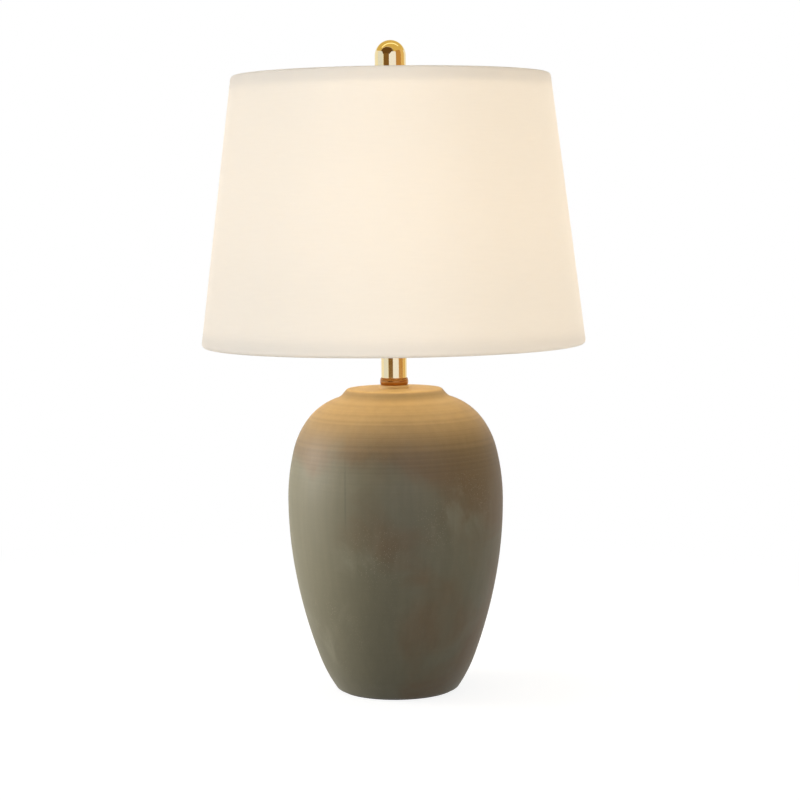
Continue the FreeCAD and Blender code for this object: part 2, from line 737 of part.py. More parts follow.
def socket_interior():
    """The moulded switch body, with flats for its terminals and a bearing for the switch's shaft."""
    body = new_body("socket_interior")
    points = [("0", "interior_base"), (interior_radius, "interior_base")]
    points += [(interior_radius, f"{interior_top} - interior_edge")]
    points += [(f"{interior_radius} - interior_edge", interior_top), ("0", interior_top)]
    turn(body, "interior_turning", points)
    recess_low = "(terminal_level - terminal_recess_height / 2)"
    for side, sign in (("left", "-"), ("right", "")):
        flat = new_sketch(body, side + "_flat_outline")
        edges = [f"{sign}terminal_flat", f"{sign}(cup_radius)"]
        if sign:
            edges.reverse()
        box_outline(flat, *edges, recess_low, f"{recess_low} + terminal_recess_height")
        extrude(body, side + "_flat", flat, "terminal_recess_width", "Pocket", both_sides=True)
        root = f"{sign}(terminal_flat - terminal_shank_length - thread_fit)"
        thread = new_sketch(body, side + "_thread_outline", "YZ_Plane", ("0", "0", root))
        circle(thread, "terminal_shank_radius + thread_fit", up="terminal_level")
        extrude(body, side + "_thread", thread, "cup_radius", "Pocket", turned_round=not sign)
    cross_hole(body, "shaft_bearing", "shaft_radius + shaft_fit", "switch_level",
               "cup_radius", True, "shaft_root - shaft_fit")
    place(body, up=socket_seat)


def terminal_screws():
    """The two terminal screws, one on each flat of the switch body."""
    right = slotted_screw("right_terminal_screw", "terminal_head_radius", "terminal_head_thickness",
                          "terminal_shank_length")
    right.Placement = FreeCAD.Placement(FreeCAD.Vector(), FreeCAD.Rotation(FreeCAD.Vector(0, 1, 0), 90))
    bind(right, "Placement.Base.x", "terminal_flat")
    left = doc.addObject("Part::Mirroring", "left_terminal_screw")
    left.Source = right
    left.Normal = FreeCAD.Vector(1, 0, 0)
    pair = doc.addObject("Part::Compound", "terminal_screws")
    pair.Label = "terminal_screws"
    pair.Links = [right, left]
    place(pair, up=total(socket_seat, "terminal_level"))


def contacts():
    """The shell that takes the bulb's base, and the sprung tongue under the bulb's tip."""
    outer = "(screw_shell_bore_radius + screw_shell_wall)"
    lip = "(screw_shell_bore_radius - screw_shell_lip)"
    points = [(lip, "0"), (outer, "0"), (outer, "screw_shell_height")]
    points += [("screw_shell_bore_radius", "screw_shell_height")]
    points += [("screw_shell_bore_radius", "screw_shell_wall"), (lip, "screw_shell_wall")]
    turned_piece("screw_shell", points, up=total(socket_seat, interior_top))
    body = new_body("centre_contact")
    strip = new_sketch(body, "tongue_outline")
    bend = "(contact_flat - contact_reach)"
    tip_top = total("contact_rise", "contact_thickness")
    points = [("-contact_reach", "0"), (bend, "0"), ("-contact_tip_back", "contact_rise")]
    points += [("contact_tip_front", "contact_rise"), ("contact_tip_front", tip_top)]
    points += [("-contact_tip_back - contact_thickness / 2", tip_top)]
    points += [(f"{bend} - contact_thickness / 2", "contact_thickness")]
    points += [("-contact_reach", "contact_thickness")]
    outline(strip, points)
    extrude(body, "tongue", strip, "contact_width", both_sides=True)
    place(body, up=total(socket_seat, interior_top))


# Switch

def switch():
    """The shaft that turns in the switch body, and the fluted knob on it, both facing the front."""
    level = total(socket_seat, "switch_level")
    collar_end = "(shaft_collar_start + shaft_collar_thickness)"
    shaft_end = "(knob_start + knob_bore_depth - thread_fit)"
    points = [("0", "shaft_root"), ("shaft_radius", "shaft_root"), ("shaft_radius", "shaft_collar_start")]
    points += [("shaft_collar_radius", "shaft_collar_start"), ("shaft_collar_radius", collar_end)]
    points += [("shaft_radius", collar_end), ("shaft_radius", shaft_end), ("0", shaft_end)]
    turned_piece("switch_shaft", points, up=level, about=(1, 0, 0), angle="90")
    body = new_body("switch_knob")
    bore = "(shaft_radius + shaft_fit)"
    cone_top = "(knob_neck_height + knob_cone_height)"
    points = [(bore, "0"), ("knob_neck_radius", "0"), ("knob_neck_radius", "knob_neck_height")]
    points += [("knob_radius", cone_top), ("knob_radius", "knob_height - knob_round", "arc smooth")]
    points += [("knob_radius - knob_round", "knob_height"), ("0", "knob_height"), ("0", "knob_bore_depth")]
    points += [(bore, "knob_bore_depth")]
    turn(body, "knob_turning", points)
    flute = new_sketch(body, "flute_outline", "XY_Plane", ("0", "0", cone_top))
    circle(flute, "knob_flute_radius", "knob_radius + knob_flute_out")
    cut = extrude(body, "flute", flute, "knob_height", "Pocket", turned_round=True)
    repeat(body, "flutes", cut, "knob_flute_count")
    place(body, up=level, back="-knob_start", about=(1, 0, 0), angle="90")


# Bulb

def bulb():
    """The bulb's five pieces, from the tip of its base up to its globe."""
    insulator_top = "(bulb_contact_height + bulb_insulator_height)"
    base_top = total(insulator_top, "bulb_base_height")
    base_inner = "(bulb_base_radius - bulb_base_wall)"
    lip = "(bulb_base_radius - bulb_base_lip)"
    points = [("0", "0"), ("bulb_contact_radius - bulb_contact_height", "0", "arc")]
    points += [("bulb_contact_radius", "bulb_contact_height", "upright"), ("0", "bulb_contact_height")]
    turned_piece("bulb_contact", points, up=bulb_seat)
    points = [("0", "bulb_contact_height"), ("bulb_insulator_foot", "bulb_contact_height")]
    points += [(lip, insulator_top), ("0", insulator_top)]
    turned_piece("bulb_insulator", points, up=bulb_seat)
    points = [("0", insulator_top), (lip, insulator_top)]
    points += [("bulb_base_radius", f"{insulator_top} + bulb_base_lip"), ("bulb_base_radius", base_top)]
    points += [(base_inner, base_top)]
    points += [(base_inner, f"{insulator_top} + bulb_base_lip + bulb_base_wall")]
    points += [("0", f"{insulator_top} + bulb_base_lip + bulb_base_wall")]
    turned_piece("bulb_screw_base", points, up=bulb_seat)
    plug = f"({base_inner} - thread_fit)"
    seat = "(heat_body_top_radius - bulb_wall - globe_seat_step)"
    points = [("0", f"{base_top} - heat_body_plug"), (plug, f"{base_top} - heat_body_plug")]
    points += [(plug, base_top), ("bulb_base_radius + globe_seat_step", base_top, "arc upright")]
    points += [("heat_body_top_radius", globe_foot), (seat, globe_foot)]
    points += [(seat, f"{globe_foot} + heat_body_ledge"), ("0", f"{globe_foot} + heat_body_ledge")]
    turned_piece("bulb_heat_body", points, up=bulb_seat)
    belly = "(bulb_length - bulb_radius)"
    inner = "(bulb_radius - bulb_wall)"
    points = [("heat_body_top_radius - bulb_wall", globe_foot), ("heat_body_top_radius", globe_foot, "arc")]
    points += [("bulb_radius", belly, "arc upright"), ("0", "bulb_length")]
    points += [("0", "bulb_length - bulb_wall", "arc"), (inner, belly, "arc upright")]
    turned_piece("bulb_globe", points, up=bulb_seat)


# Harp

def harp_loop():
    """The bowed wire from the left pin over the bulb to the right pin, with the crown in its top."""
    body = new_body("harp_loop")
    leg_top = f"({pin_top} + ferrule_length + ferrule_travel - pin_height + leg_spare)"
    flare_middle = ("((saddle_span / 2 + harp_half_width) / 2)", f"({leg_top} + harp_flare_height / 2)")
    flare_top = f"({leg_top} + harp_flare_height)"
    crown_half = "(harp_half_width - harp_shoulder_radius)"
    right = [("saddle_span / 2", pin_top), ("saddle_span / 2", leg_top, "arc smooth")]
    right += [(*flare_middle, "arc"), ("harp_half_width", flare_top, "upright")]
    right += [("harp_half_width", "harp_height - harp_shoulder_radius", "arc smooth")]
    right += [(crown_half, "harp_height")]
    left = [(f"-{crown_half}", "harp_height", "arc")]
    left += [("-harp_half_width", "harp_height - harp_shoulder_radius", "upright")]
    left += [("-harp_half_width", flare_top, "arc upright"), (f"-{flare_middle[0]}", flare_middle[1], "arc")]
    left += [("-saddle_span / 2", leg_top, "upright"), ("-saddle_span / 2", pin_top)]
    path = new_sketch(body, "harp_path")
    edges = outline(path, right + left, closed=False)
    section = new_sketch(body, "harp_section", "XY_Plane", ("0", "0", pin_top))
    circle(section, "wire_radius", "saddle_span / 2")
    wire = body.newObject("PartDesign::AdditivePipe", "harp_wire")
    wire.Profile = section
    wire.Spine = (path, [f"Edge{edge + 1}" for edge in range(edges)])
    crown = new_sketch(body, "crown_outline", "XY_Plane", ("0", "0", "harp_height"))
    circle(crown, "crown_radius")
    extrude(body, "crown", crown, "crown_thickness", both_sides=True)
    hole = new_sketch(body, "stud_hole_outline", "XY_Plane", ("0", "0", "harp_height"))
    circle(hole, "stud_pin_radius + stud_fit")
    extrude(body, "stud_hole", hole, "crown_thickness + overrun", "Pocket", both_sides=True)
    place(body, up=saddle_seat)


def ferrules():
    """The two sleeves that drop over the joints between the harp and its saddle."""
    outer = f"({ferrule_bore_radius} + ferrule_wall)"
    for name, sign in (("left_ferrule", "-"), ("right_ferrule", "")):
        points = [(ferrule_bore_radius, "0"), (f"{outer} - ferrule_round", "0", "arc")]
        points += [(outer, "ferrule_round", "upright")]
        points += [(outer, "ferrule_length - ferrule_round", "arc smooth")]
        points += [(f"{outer} - ferrule_round", "ferrule_length"), (ferrule_bore_radius, "ferrule_length")]
        turned_piece(name, points, up=total(saddle_seat, "post_top"), across=f"{sign}saddle_span / 2")


def harp_stud():
    """The riveted stud that swivels in the crown, carries the shade and takes the finial."""
    pin_end = "-(crown_thickness + swivel_play)"
    flange_top = "(swivel_play + stud_flange_thickness)"
    stud_top = total(flange_top, "stud_thread_length")
    rivet_foot = f"{pin_end} - rivet_head_thickness"
    points = [("0", rivet_foot), ("rivet_head_radius", rivet_foot), ("rivet_head_radius", pin_end)]
    points += [("stud_pin_radius", pin_end), ("stud_pin_radius", "swivel_play")]
    points += [("stud_flange_radius", "swivel_play"), ("stud_flange_radius", flange_top)]
    points += [("stud_thread_radius", flange_top), ("stud_thread_radius", f"{stud_top} - stud_chamfer")]
    points += [("stud_thread_radius - stud_chamfer", stud_top), ("0", stud_top)]
    turned_piece("harp_stud", points, up=crown_top)


# Shade: heights are measured from the underside of the spider's hub

def on_side(level, depth="0"):
    """A point at a height on the shade's outer side, moved in square to it by a depth."""
    across = f"(shade_top_radius + {shade_lean} * (shade_recess - {level}) - ({depth}))"
    return across, f"({level} - ({depth}) * {shade_lean})"


top_touch = f"(shade_recess - {roll_radius} * (1 - {shade_lean}))"
foot_touch = f"({shade_foot} + {roll_radius} * (1 + {shade_lean}))"


def spider():
    """The hub, the arms and the two rim wires of the shade's frame."""
    points = [("hub_hole_radius", "0"), ("hub_radius - hub_edge", "0"), ("hub_radius", "hub_edge")]
    points += [("hub_radius", "hub_thickness - hub_edge"), ("hub_radius - hub_edge", "hub_thickness")]
    points += [("hub_hole_radius", "hub_thickness")]
    turned_piece("spider_hub", points, up=shade_seat)
    rim_across, rim_up = on_side(top_touch, roll_radius)
    for number in range(sizes["arm_count"]):
        name = f"spider_arm_{number + 1}"
        body = new_body(name)
        start = "(hub_radius - arm_radius)"
        slope_foot = (f"({rim_across} - ({rim_up} - {arm_level} - arm_bend_rise))",
                      f"({arm_level} + arm_bend_rise)")
        bend = (f"{slope_foot[0]} - arm_bend_out", arm_level, "arc smooth")
        path = new_sketch(body, name + "_path")
        edges = outline(path, [(start, arm_level), bend, slope_foot, (rim_across, rim_up)], closed=False)
        section = new_sketch(body, name + "_section", "YZ_Plane", ("0", "0", start))
        circle(section, "arm_radius", up=arm_level)
        rod = body.newObject("PartDesign::AdditivePipe", name + "_rod")
        rod.Profile = section
        rod.Spine = (path, [f"Edge{edge + 1}" for edge in range(edges)])
        hub_points = [("0", "-arm_radius"), ("hub_radius", "-arm_radius"), ("hub_radius", "arm_radius * 2")]
        hub_points += [("0", "arm_radius * 2")]
        turn(body, name + "_hub_end", hub_points, "Groove")
        cope = new_sketch(body, name + "_cope_outline")
        circle(cope, "rim_wire_radius", rim_across, rim_up)
        groove = body.newObject("PartDesign::Groove", name + "_cope")
        groove.Profile = cope
        groove.ReferenceAxis = (cope, ["V_Axis"])
        groove.Angle = 360
        place(body, up=shade_seat, about=(0, 0, 1), angle=f"arm_first_angle + 360 * {number} / arm_count")
    for name, touch in (("shade_top_ring", top_touch), ("shade_bottom_ring", foot_touch)):
        across, up = on_side(touch, roll_radius)
        ring = doc.addObject("Part::Torus", name)
        ring.Label = name
        bind(ring, "Radius1", across)
        bind(ring, "Radius2", "rim_wire_radius")
        place(ring, up=total(shade_seat, up), **behind)


def shade_panel():
    """The stiff clear sheet behind the cloth, between the two rolled rims."""
    low = f"({shade_foot} + {roll_radius} * 2 + panel_margin)"
    high = f"(shade_recess - {roll_radius} * 2 - panel_margin)"
    outer = "(cover_thickness + panel_gap)"
    inner = total(outer, "panel_thickness")
    points = [on_side(low, inner), on_side(low, outer), on_side(high, outer), on_side(high, inner)]
    turned_piece("shade_panel", points, up=shade_seat, **behind)


def shade_cover():
    """The tapered cloth, rolled round each rim wire and tucked back on the sheet behind it."""
    body = new_body("shade_cover")
    tuck = "(cover_thickness + panel_gap * 2 + panel_thickness)"
    across_roll = f"({roll_radius} * 2)"
    top_tuck = f"({top_touch} - hem_length)"
    foot_tuck = f"({foot_touch} + hem_length)"
    points = [(*on_side(foot_touch), "smooth"), (*on_side(top_touch), "arc smooth")]
    points += [on_side(top_touch, across_roll)]
    points += [on_side(top_tuck, f"{tuck} + cover_thickness"), on_side(top_tuck, tuck)]
    points += [(*on_side(top_touch, f"{across_roll} - cover_thickness"), "arc")]
    points += [(*on_side(top_touch, "cover_thickness"), "smooth")]
    points += [(*on_side(foot_touch, "cover_thickness"), "arc smooth")]
    points += [on_side(foot_touch, f"{across_roll} - cover_thickness"), on_side(foot_tuck, tuck)]
    points += [on_side(foot_tuck, f"{tuck} + cover_thickness")]
    points += [(*on_side(foot_touch, across_roll), "arc")]
    turn(body, "cover_turning", points)
    rim_across, rim_up = on_side(top_touch, roll_radius)
    notch = new_sketch(body, "arm_notch_outline")
    box_outline(notch, f"{rim_across} - {roll_radius} * 3", rim_across, f"{top_tuck} - overrun",
                f"{rim_up} + arm_radius")
    cut = extrude(body, "arm_notch", notch, "(arm_radius + arm_notch_margin) * 2", "Pocket", both_sides=True)
    repeat(body, "arm_notches", cut, "arm_count")
    place(body, up=shade_seat, **behind)


# Finial

def finial():
    """The finial's threaded base and the domed brass shell on it."""
    plug = "(finial_radius - finial_wall - finial_plug_fit)"
    bore = "(stud_thread_radius + finial_thread_fit)"
    base_top = "(finial_flange_thickness + finial_plug_height)"
    points = [(bore, "0"), ("finial_flange_radius - finial_flange_round", "0", "arc")]
    points += [("finial_flange_radius", "finial_flange_round", "upright")]
    points += [("finial_flange_radius", "finial_flange_thickness"), (plug, "finial_flange_thickness")]
    points += [(plug, base_top), (bore, base_top)]
    turned_piece("finial_base", points, up=finial_seat)
    inner = "(finial_radius - finial_wall)"
    spring = "(finial_height - finial_radius)"
    points = [(inner, "finial_flange_thickness")]
    points += [("finial_radius - finial_edge", "finial_flange_thickness", "arc")]
    points += [("finial_radius", "finial_flange_thickness + finial_edge", "upright")]
    points += [("finial_radius", spring, "arc smooth"), ("0", "finial_height")]
    points += [("0", "finial_height - finial_wall", "arc"), (inner, spring, "upright")]
    turned_piece("finial_dome", points, up=finial_seat)


ceramic_body()
cord_grommet()
felt_pad()
clamping_hardware()
neck()
harp_saddle()
socket_cap()
socket_set_screw()
socket_shell()
socket_liner()
socket_interior()
terminal_screws()
contacts()
switch()
bulb()
harp_loop()
ferrules()
harp_stud()
spider()
shade_panel()
shade_cover()
finial()
doc.recompute()

for thing in doc.Objects:
    if "Invalid" in thing.State or "Error" in thing.State:
        raise RuntimeError(f"{thing.Label} did not build: {thing.State}")
for part in parts:
    if part.Shape.isNull() or not part.Shape.isValid() or not part.Shape.Solids:
        raise RuntimeError(f"{part.Label} has no valid solid")

os.makedirs("parts", exist_ok=True)
for part in parts:
    part.Shape.exportStep(f"parts/{part.Label}.step")
    print(f"{part.Label}: {len(part.Shape.Solids)} solid, {part.Shape.Volume / 1000:.2f} cm3")
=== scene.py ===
# Looks of the ceramic table lamp: glazed jar, polished brass, lit cloth shade.
# Lengths are in metres in the lamp's own frame: +Z is up and the front faces -Y.
import bmesh
import bpy
import json
import math
from mathutils import Matrix, Vector


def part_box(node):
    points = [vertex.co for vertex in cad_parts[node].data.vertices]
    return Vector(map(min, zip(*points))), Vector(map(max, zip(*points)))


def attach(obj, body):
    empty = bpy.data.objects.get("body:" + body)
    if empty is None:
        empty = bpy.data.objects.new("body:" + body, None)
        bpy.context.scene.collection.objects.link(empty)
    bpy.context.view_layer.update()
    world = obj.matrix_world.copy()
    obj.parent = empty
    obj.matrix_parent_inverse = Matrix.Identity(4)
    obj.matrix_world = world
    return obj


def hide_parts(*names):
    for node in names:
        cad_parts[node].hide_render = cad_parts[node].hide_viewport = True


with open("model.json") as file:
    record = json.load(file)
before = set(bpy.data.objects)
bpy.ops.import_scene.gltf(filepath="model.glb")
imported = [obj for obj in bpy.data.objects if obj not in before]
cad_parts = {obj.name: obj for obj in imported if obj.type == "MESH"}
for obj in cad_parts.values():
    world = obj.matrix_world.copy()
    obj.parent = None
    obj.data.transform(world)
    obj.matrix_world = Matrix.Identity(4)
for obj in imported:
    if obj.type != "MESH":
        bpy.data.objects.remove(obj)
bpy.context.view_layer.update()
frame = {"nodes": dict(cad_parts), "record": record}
nodes = frame["nodes"]
MM = 0.001


# Camera: a long lens a little above the lamp's middle, with the slight roll of the photograph

LENS_MM = 97.24
SENSOR_MM = 36
FAR_END = 50
CAMERA_PLACE = (0.0048, -1.8568, 0.424)
DEGREES_DOWN = 5.3
DEGREES_OF_ROLL = -0.69

lens = bpy.data.cameras.new("camera")
lens.sensor_width = SENSOR_MM
lens.lens = LENS_MM
lens.clip_end = FAR_END
camera = bpy.data.objects.new("camera", lens)
camera.location = CAMERA_PLACE
camera_pitch = Matrix.Rotation(math.radians(90 - DEGREES_DOWN), 4, "X")
camera_roll = Matrix.Rotation(math.radians(DEGREES_OF_ROLL), 4, "Z")
camera.matrix_world = Matrix.Translation(camera.location) @ camera_pitch @ camera_roll
bpy.context.scene.collection.objects.link(camera)
bpy.context.scene.camera = camera
bpy.context.scene.view_settings.view_transform = "Standard"


# Materials

def colour(digits):
    """The linear colour of six sRGB hex digits."""
    light = []
    for start in (0, 2, 4):
        share = int(digits[start:start + 2], 16) / 255
        light.append(share / 12.92 if share <= 0.04045 else ((share + 0.055) / 1.055) ** 2.4)
    return (*light, 1.0)


def across(size_mm):
    """The texture scale at which a pattern's features are this many millimetres across."""
    return 1000 / size_mm


def add(material, kind, inputs=None, **settings):
    """Add one shader node: its settings, and for each input a value or the output it takes."""
    node = material.node_tree.nodes.new("ShaderNode" + kind)
    for name, setting in settings.items():
        setattr(node, name, setting)
    for socket, given in (inputs or {}).items():
        if isinstance(given, bpy.types.NodeSocket):
            material.node_tree.links.new(given, node.inputs[socket])
        else:
            node.inputs[socket].default_value = given
    return node


# The colour sockets of a Mix node come after its number and vector sockets.
FIRST_COLOUR = 6
SECOND_COLOUR = 7
MIXED_COLOUR = 2


def blank(name):
    """A new material with no nodes."""
    material = bpy.data.materials.new(name)
    material.use_nodes = True
    material.node_tree.nodes.clear()
    return material


def sprayed_clouds(glaze, place, axes):
    """Grey-green glaze with soft brown clouds, more of them to the right and on the shoulder."""
    cloud_mm = 75
    rightward = 2.2
    noise = add(glaze, "TexNoise", {"Vector": place, "Scale": across(cloud_mm), "Detail": 4.0,
                                    "Roughness": 0.5, "Distortion": 0.5}).outputs["Fac"]
    clouds = add(glaze, "Math", {0: axes["X"], 1: rightward, 2: noise},
                 operation="MULTIPLY_ADD").outputs[0]
    upward = add(glaze, "MapRange", {"Value": axes["Z"], "From Min": 0.175, "From Max": 0.215,
                                     "To Max": 0.32},
                 interpolation_type="SMOOTHSTEP").outputs["Result"]
    clouds = add(glaze, "Math", {0: clouds, 1: upward}, operation="ADD").outputs[0]
    brown = add(glaze, "MapRange", {"Value": clouds, "From Min": 0.5, "From Max": 0.78,
                                    "To Max": 0.8},
                interpolation_type="SMOOTHSTEP").outputs["Result"]
    clouded = add(glaze, "Mix", {0: brown, FIRST_COLOUR: colour("807b62"),
                                 SECOND_COLOUR: colour("7e6544")}, data_type="RGBA")
    return clouded.outputs[MIXED_COLOUR]


def pooled_thickness(glaze, place):
    """How thickly the glaze lies: thin all over, and full at the middles of its pools."""
    pools = [((0.062, -0.068, 0.172), 0.036), ((0.036, -0.084, 0.155), 0.026),
             ((-0.020, -0.088, 0.132), 0.036), ((-0.058, -0.058, 0.075), 0.040),
             ((-0.044, -0.055, 0.048), 0.030)]
    core_share = 0.3
    thickness = 0.2
    for middle, reach in pools:
        away = add(glaze, "VectorMath", {0: place, 1: middle}, operation="DISTANCE")
        pool = add(glaze, "MapRange", {"Value": away.outputs["Value"], "From Min": reach,
                                       "From Max": reach * core_share, "To Min": thickness,
                                       "To Max": 1.0}, interpolation_type="SMOOTHSTEP")
        thickness = pool.outputs["Result"]
    return thickness


def run_streaks_and_painted_foot_shade(glaze, axes, runs):
    """Faint streaks where the wet glaze ran, and painted shade that darkens the jar toward its
    foot.
    """
    streaks = add(glaze, "MapRange", {"Value": runs, "From Min": 0.3, "From Max": 0.7,
                                      "To Min": 0.95, "To Max": 1.04}).outputs["Result"]
    painted_shade_toward_foot = add(glaze, "MapRange", {"Value": axes["Z"], "From Max": 0.11, "To Min": 0.74,
                                          "To Max": 1.0}).outputs["Result"]
    return add(glaze, "Math", {0: streaks, 1: painted_shade_toward_foot}, operation="MULTIPLY").outputs[0]


def drip_shading(glaze, axes, runs):
    """One thin dark drip down the front, left of the middle, that wanders with the runs."""
    fades = [("Z", 0.146, 0.165), ("Z", 0.215, 0.195), ("Y", 0.0, -0.01)]
    leftward = add(glaze, "MapRange", {"Value": runs, "To Min": 0.0405, "To Max": 0.0425})
    beside = add(glaze, "Math", {0: axes["X"], 1: leftward.outputs["Result"]}, operation="ADD")
    beside = add(glaze, "Math", {0: beside.outputs[0]}, operation="ABSOLUTE").outputs[0]
    drip = add(glaze, "MapRange", {"Value": beside, "From Min": 0.3 * MM, "From Max": 1.1 * MM,
                                   "To Min": 1.0, "To Max": 0.0}).outputs["Result"]
    for axis, gone, full in fades:
        within = add(glaze, "MapRange", {"Value": axes[axis], "From Min": gone, "From Max": full})
        drip = add(glaze, "Math", {0: drip, 1: within.outputs["Result"]},
                   operation="MULTIPLY").outputs[0]
    return add(glaze, "MapRange", {"Value": drip, "To Min": 1.0, "To Max": 0.84}).outputs["Result"]


def throwing_rings(glaze, height):
    """The wheel's throwing rings, and how strongly they show at each height: in relief, and in
    painted shade.
    """
    ring_mm = 15
    level = add(glaze, "Math", {0: height, 1: across(ring_mm)}, operation="MULTIPLY").outputs[0]
    rings = add(glaze, "TexNoise", {"W": level, "Detail": 1.0, "Roughness": 0.5},
                noise_dimensions="1D").outputs["Fac"]
    on_shoulder = add(glaze, "MapRange", {"Value": height, "From Min": 0.165, "From Max": 0.225,
                                          "To Min": 0.12},
                      interpolation_type="SMOOTHSTEP").outputs["Result"]
    return rings, on_shoulder


def painted_collar_light_and_shade(glaze, height):
    """A painted highlight on the collar's edge, and a band of painted shade just below it."""
    painted_lip_shade_at = 0.2586
    painted_edge_highlight = add(glaze, "MapRange", {"Value": height, "From Min": 0.2604, "From Max": 0.2618,
                                      "To Min": 1.0, "To Max": 1.3}).outputs["Result"]
    away = add(glaze, "Math", {0: height, 1: painted_lip_shade_at}, operation="SUBTRACT").outputs[0]
    away = add(glaze, "Math", {0: away}, operation="ABSOLUTE").outputs[0]
    painted_lip_shade = add(glaze, "MapRange", {"Value": away, "From Min": 1.0 * MM, "From Max": 3.0 * MM,
                                       "To Min": 0.84, "To Max": 1.0}).outputs["Result"]
    return add(glaze, "Math", {0: painted_edge_highlight, 1: painted_lip_shade}, operation="MULTIPLY").outputs[0]


def pale_specks(glaze, place, shifted, thickness):
    """Fine pale specks, in clusters where the glaze lies thick."""
    speck_mm = 1.6
    cluster_mm = 30
    grains = add(glaze, "TexVoronoi", {"Vector": place, "Scale": across(speck_mm)})
    dots = add(glaze, "MapRange", {"Value": grains.outputs["Distance"], "From Min": 0.10,
                                   "From Max": 0.22, "To Min": 1.0, "To Max": 0.0})
    clusters = add(glaze, "TexNoise", {"Vector": shifted, "Scale": across(cluster_mm),
                                       "Detail": 3.0, "Roughness": 0.6}).outputs["Fac"]
    clustered = add(glaze, "MapRange", {"Value": clusters, "From Min": 0.42, "From Max": 0.6,
                                        "To Max": 0.55},
                    interpolation_type="SMOOTHSTEP").outputs["Result"]
    clustered = add(glaze, "Math", {0: clustered, 1: thickness}, operation="MULTIPLY").outputs[0]
    return add(glaze, "Math", {0: dots.outputs["Result"], 1: clustered},
               operation="MULTIPLY").outputs[0]


def stoneware_glaze():
    """Matt stoneware glaze, sprayed: cloudy grey-green with brown, pale blooms and fine specks.

    On the shoulder it turns tan, partly its own colour and partly painted warm light from the bulb,
    and the wheel's throwing rings show there with painted shade along them. It is pale where it
    pooled. A painted highlight lies on the collar's edge with painted shade below it, and painted
    shade darkens the jar toward its foot. A matt glaze scatters a broad, soft sheen.
    """
    bloom_mm = 38
    run_mm = 7
    grit_mm = 0.9
    grit_share = 0.12
    glaze = blank("matt stoneware glaze")
    place = add(glaze, "TexCoord").outputs["Object"]
    shifted = add(glaze, "Mapping", {"Vector": place, "Location": (0.31, 0.07, 0.12),
                                     "Scale": (1.0, 1.0, 0.6)}).outputs["Vector"]
    drawn = add(glaze, "Mapping", {"Vector": place, "Scale": (1.0, 1.0, 0.07)}).outputs["Vector"]
    axes = add(glaze, "SeparateXYZ", {0: place}).outputs
    height = axes["Z"]
    thickness = pooled_thickness(glaze, place)
    rings, on_shoulder = throwing_rings(glaze, height)

    bloom_noise = add(glaze, "TexNoise", {"Vector": shifted, "Scale": across(bloom_mm),
                                          "Detail": 6.0, "Roughness": 0.6,
                                          "Distortion": 0.5}).outputs["Fac"]
    bloom = add(glaze, "MapRange", {"Value": bloom_noise, "From Min": 0.46, "From Max": 0.72,
                                    "To Max": 0.55},
                interpolation_type="SMOOTHSTEP").outputs["Result"]
    bloom = add(glaze, "Math", {0: bloom, 1: thickness}, operation="MULTIPLY").outputs[0]
    body = add(glaze, "Mix", {0: bloom, FIRST_COLOUR: sprayed_clouds(glaze, place, axes),
                              SECOND_COLOUR: colour("a3a088")},
               data_type="RGBA").outputs[MIXED_COLOUR]
    # A tan shoulder: partly the glaze's own colour, partly painted warm light from the bulb above.
    tan_glaze_and_painted_bulb_light = add(glaze, "MapRange", {"Value": height, "From Min": 0.205, "From Max": 0.248,
                                    "To Max": 0.85},
                interpolation_type="SMOOTHSTEP").outputs["Result"]
    body = add(glaze, "Mix", {0: tan_glaze_and_painted_bulb_light, FIRST_COLOUR: body, SECOND_COLOUR: colour("ae9060")},
               data_type="RGBA").outputs[MIXED_COLOUR]

    runs = add(glaze, "TexNoise", {"Vector": drawn, "Scale": across(run_mm), "Detail": 4.0,
                                   "Roughness": 0.6}).outputs["Fac"]
    # A tone that scales the colour: real runs and drip, with painted shade toward the foot, along
    # the rings and below the collar's edge, and a painted highlight on that edge.
    shade = add(glaze, "Math", {0: run_streaks_and_painted_foot_shade(glaze, axes, runs),
                                1: drip_shading(glaze, axes, runs)}, operation="MULTIPLY")
    # Painted shade and light in bands along the throwing rings, on top of their bump.
    painted_ring_shade = add(glaze, "MapRange", {"Value": rings, "From Min": 0.3, "From Max": 0.7,
                                        "To Min": -0.055, "To Max": 0.055}).outputs["Result"]
    shade = add(glaze, "Math", {0: painted_ring_shade, 1: on_shoulder, 2: shade.outputs[0]},
                operation="MULTIPLY_ADD")
    shade = add(glaze, "Math", {0: shade.outputs[0], 1: painted_collar_light_and_shade(glaze, height)},
                operation="MULTIPLY")
    body = add(glaze, "VectorMath", {0: body, "Scale": shade.outputs[0]},
               operation="SCALE").outputs["Vector"]
    specks = pale_specks(glaze, place, shifted, thickness)
    body = add(glaze, "Mix", {0: specks, FIRST_COLOUR: body, SECOND_COLOUR: colour("cfc9b0")},
               data_type="RGBA").outputs[MIXED_COLOUR]

    grit = add(glaze, "TexNoise", {"Vector": place, "Scale": across(grit_mm),
                                   "Detail": 3.0}).outputs["Fac"]
    ring_lift = add(glaze, "Math", {0: rings, 1: on_shoulder}, operation="MULTIPLY").outputs[0]
    lift = add(glaze, "Math", {0: grit, 1: grit_share, 2: ring_lift},
               operation="MULTIPLY_ADD").outputs[0]
    bump = add(glaze, "Bump", {"Height": lift, "Strength": 0.35, "Distance": 0.35 * MM})
    sheen = add(glaze, "MapRange", {"Value": bloom_noise, "To Min": 0.62, "To Max": 0.5})
    shader = add(glaze, "BsdfPrincipled", {"Base Color": body, "Normal": bump.outputs["Normal"],
                                           "Roughness": sheen.outputs["Result"], "IOR": 1.5})
    add(glaze, "OutputMaterial", {"Surface": shader.outputs[0]})
    return glaze


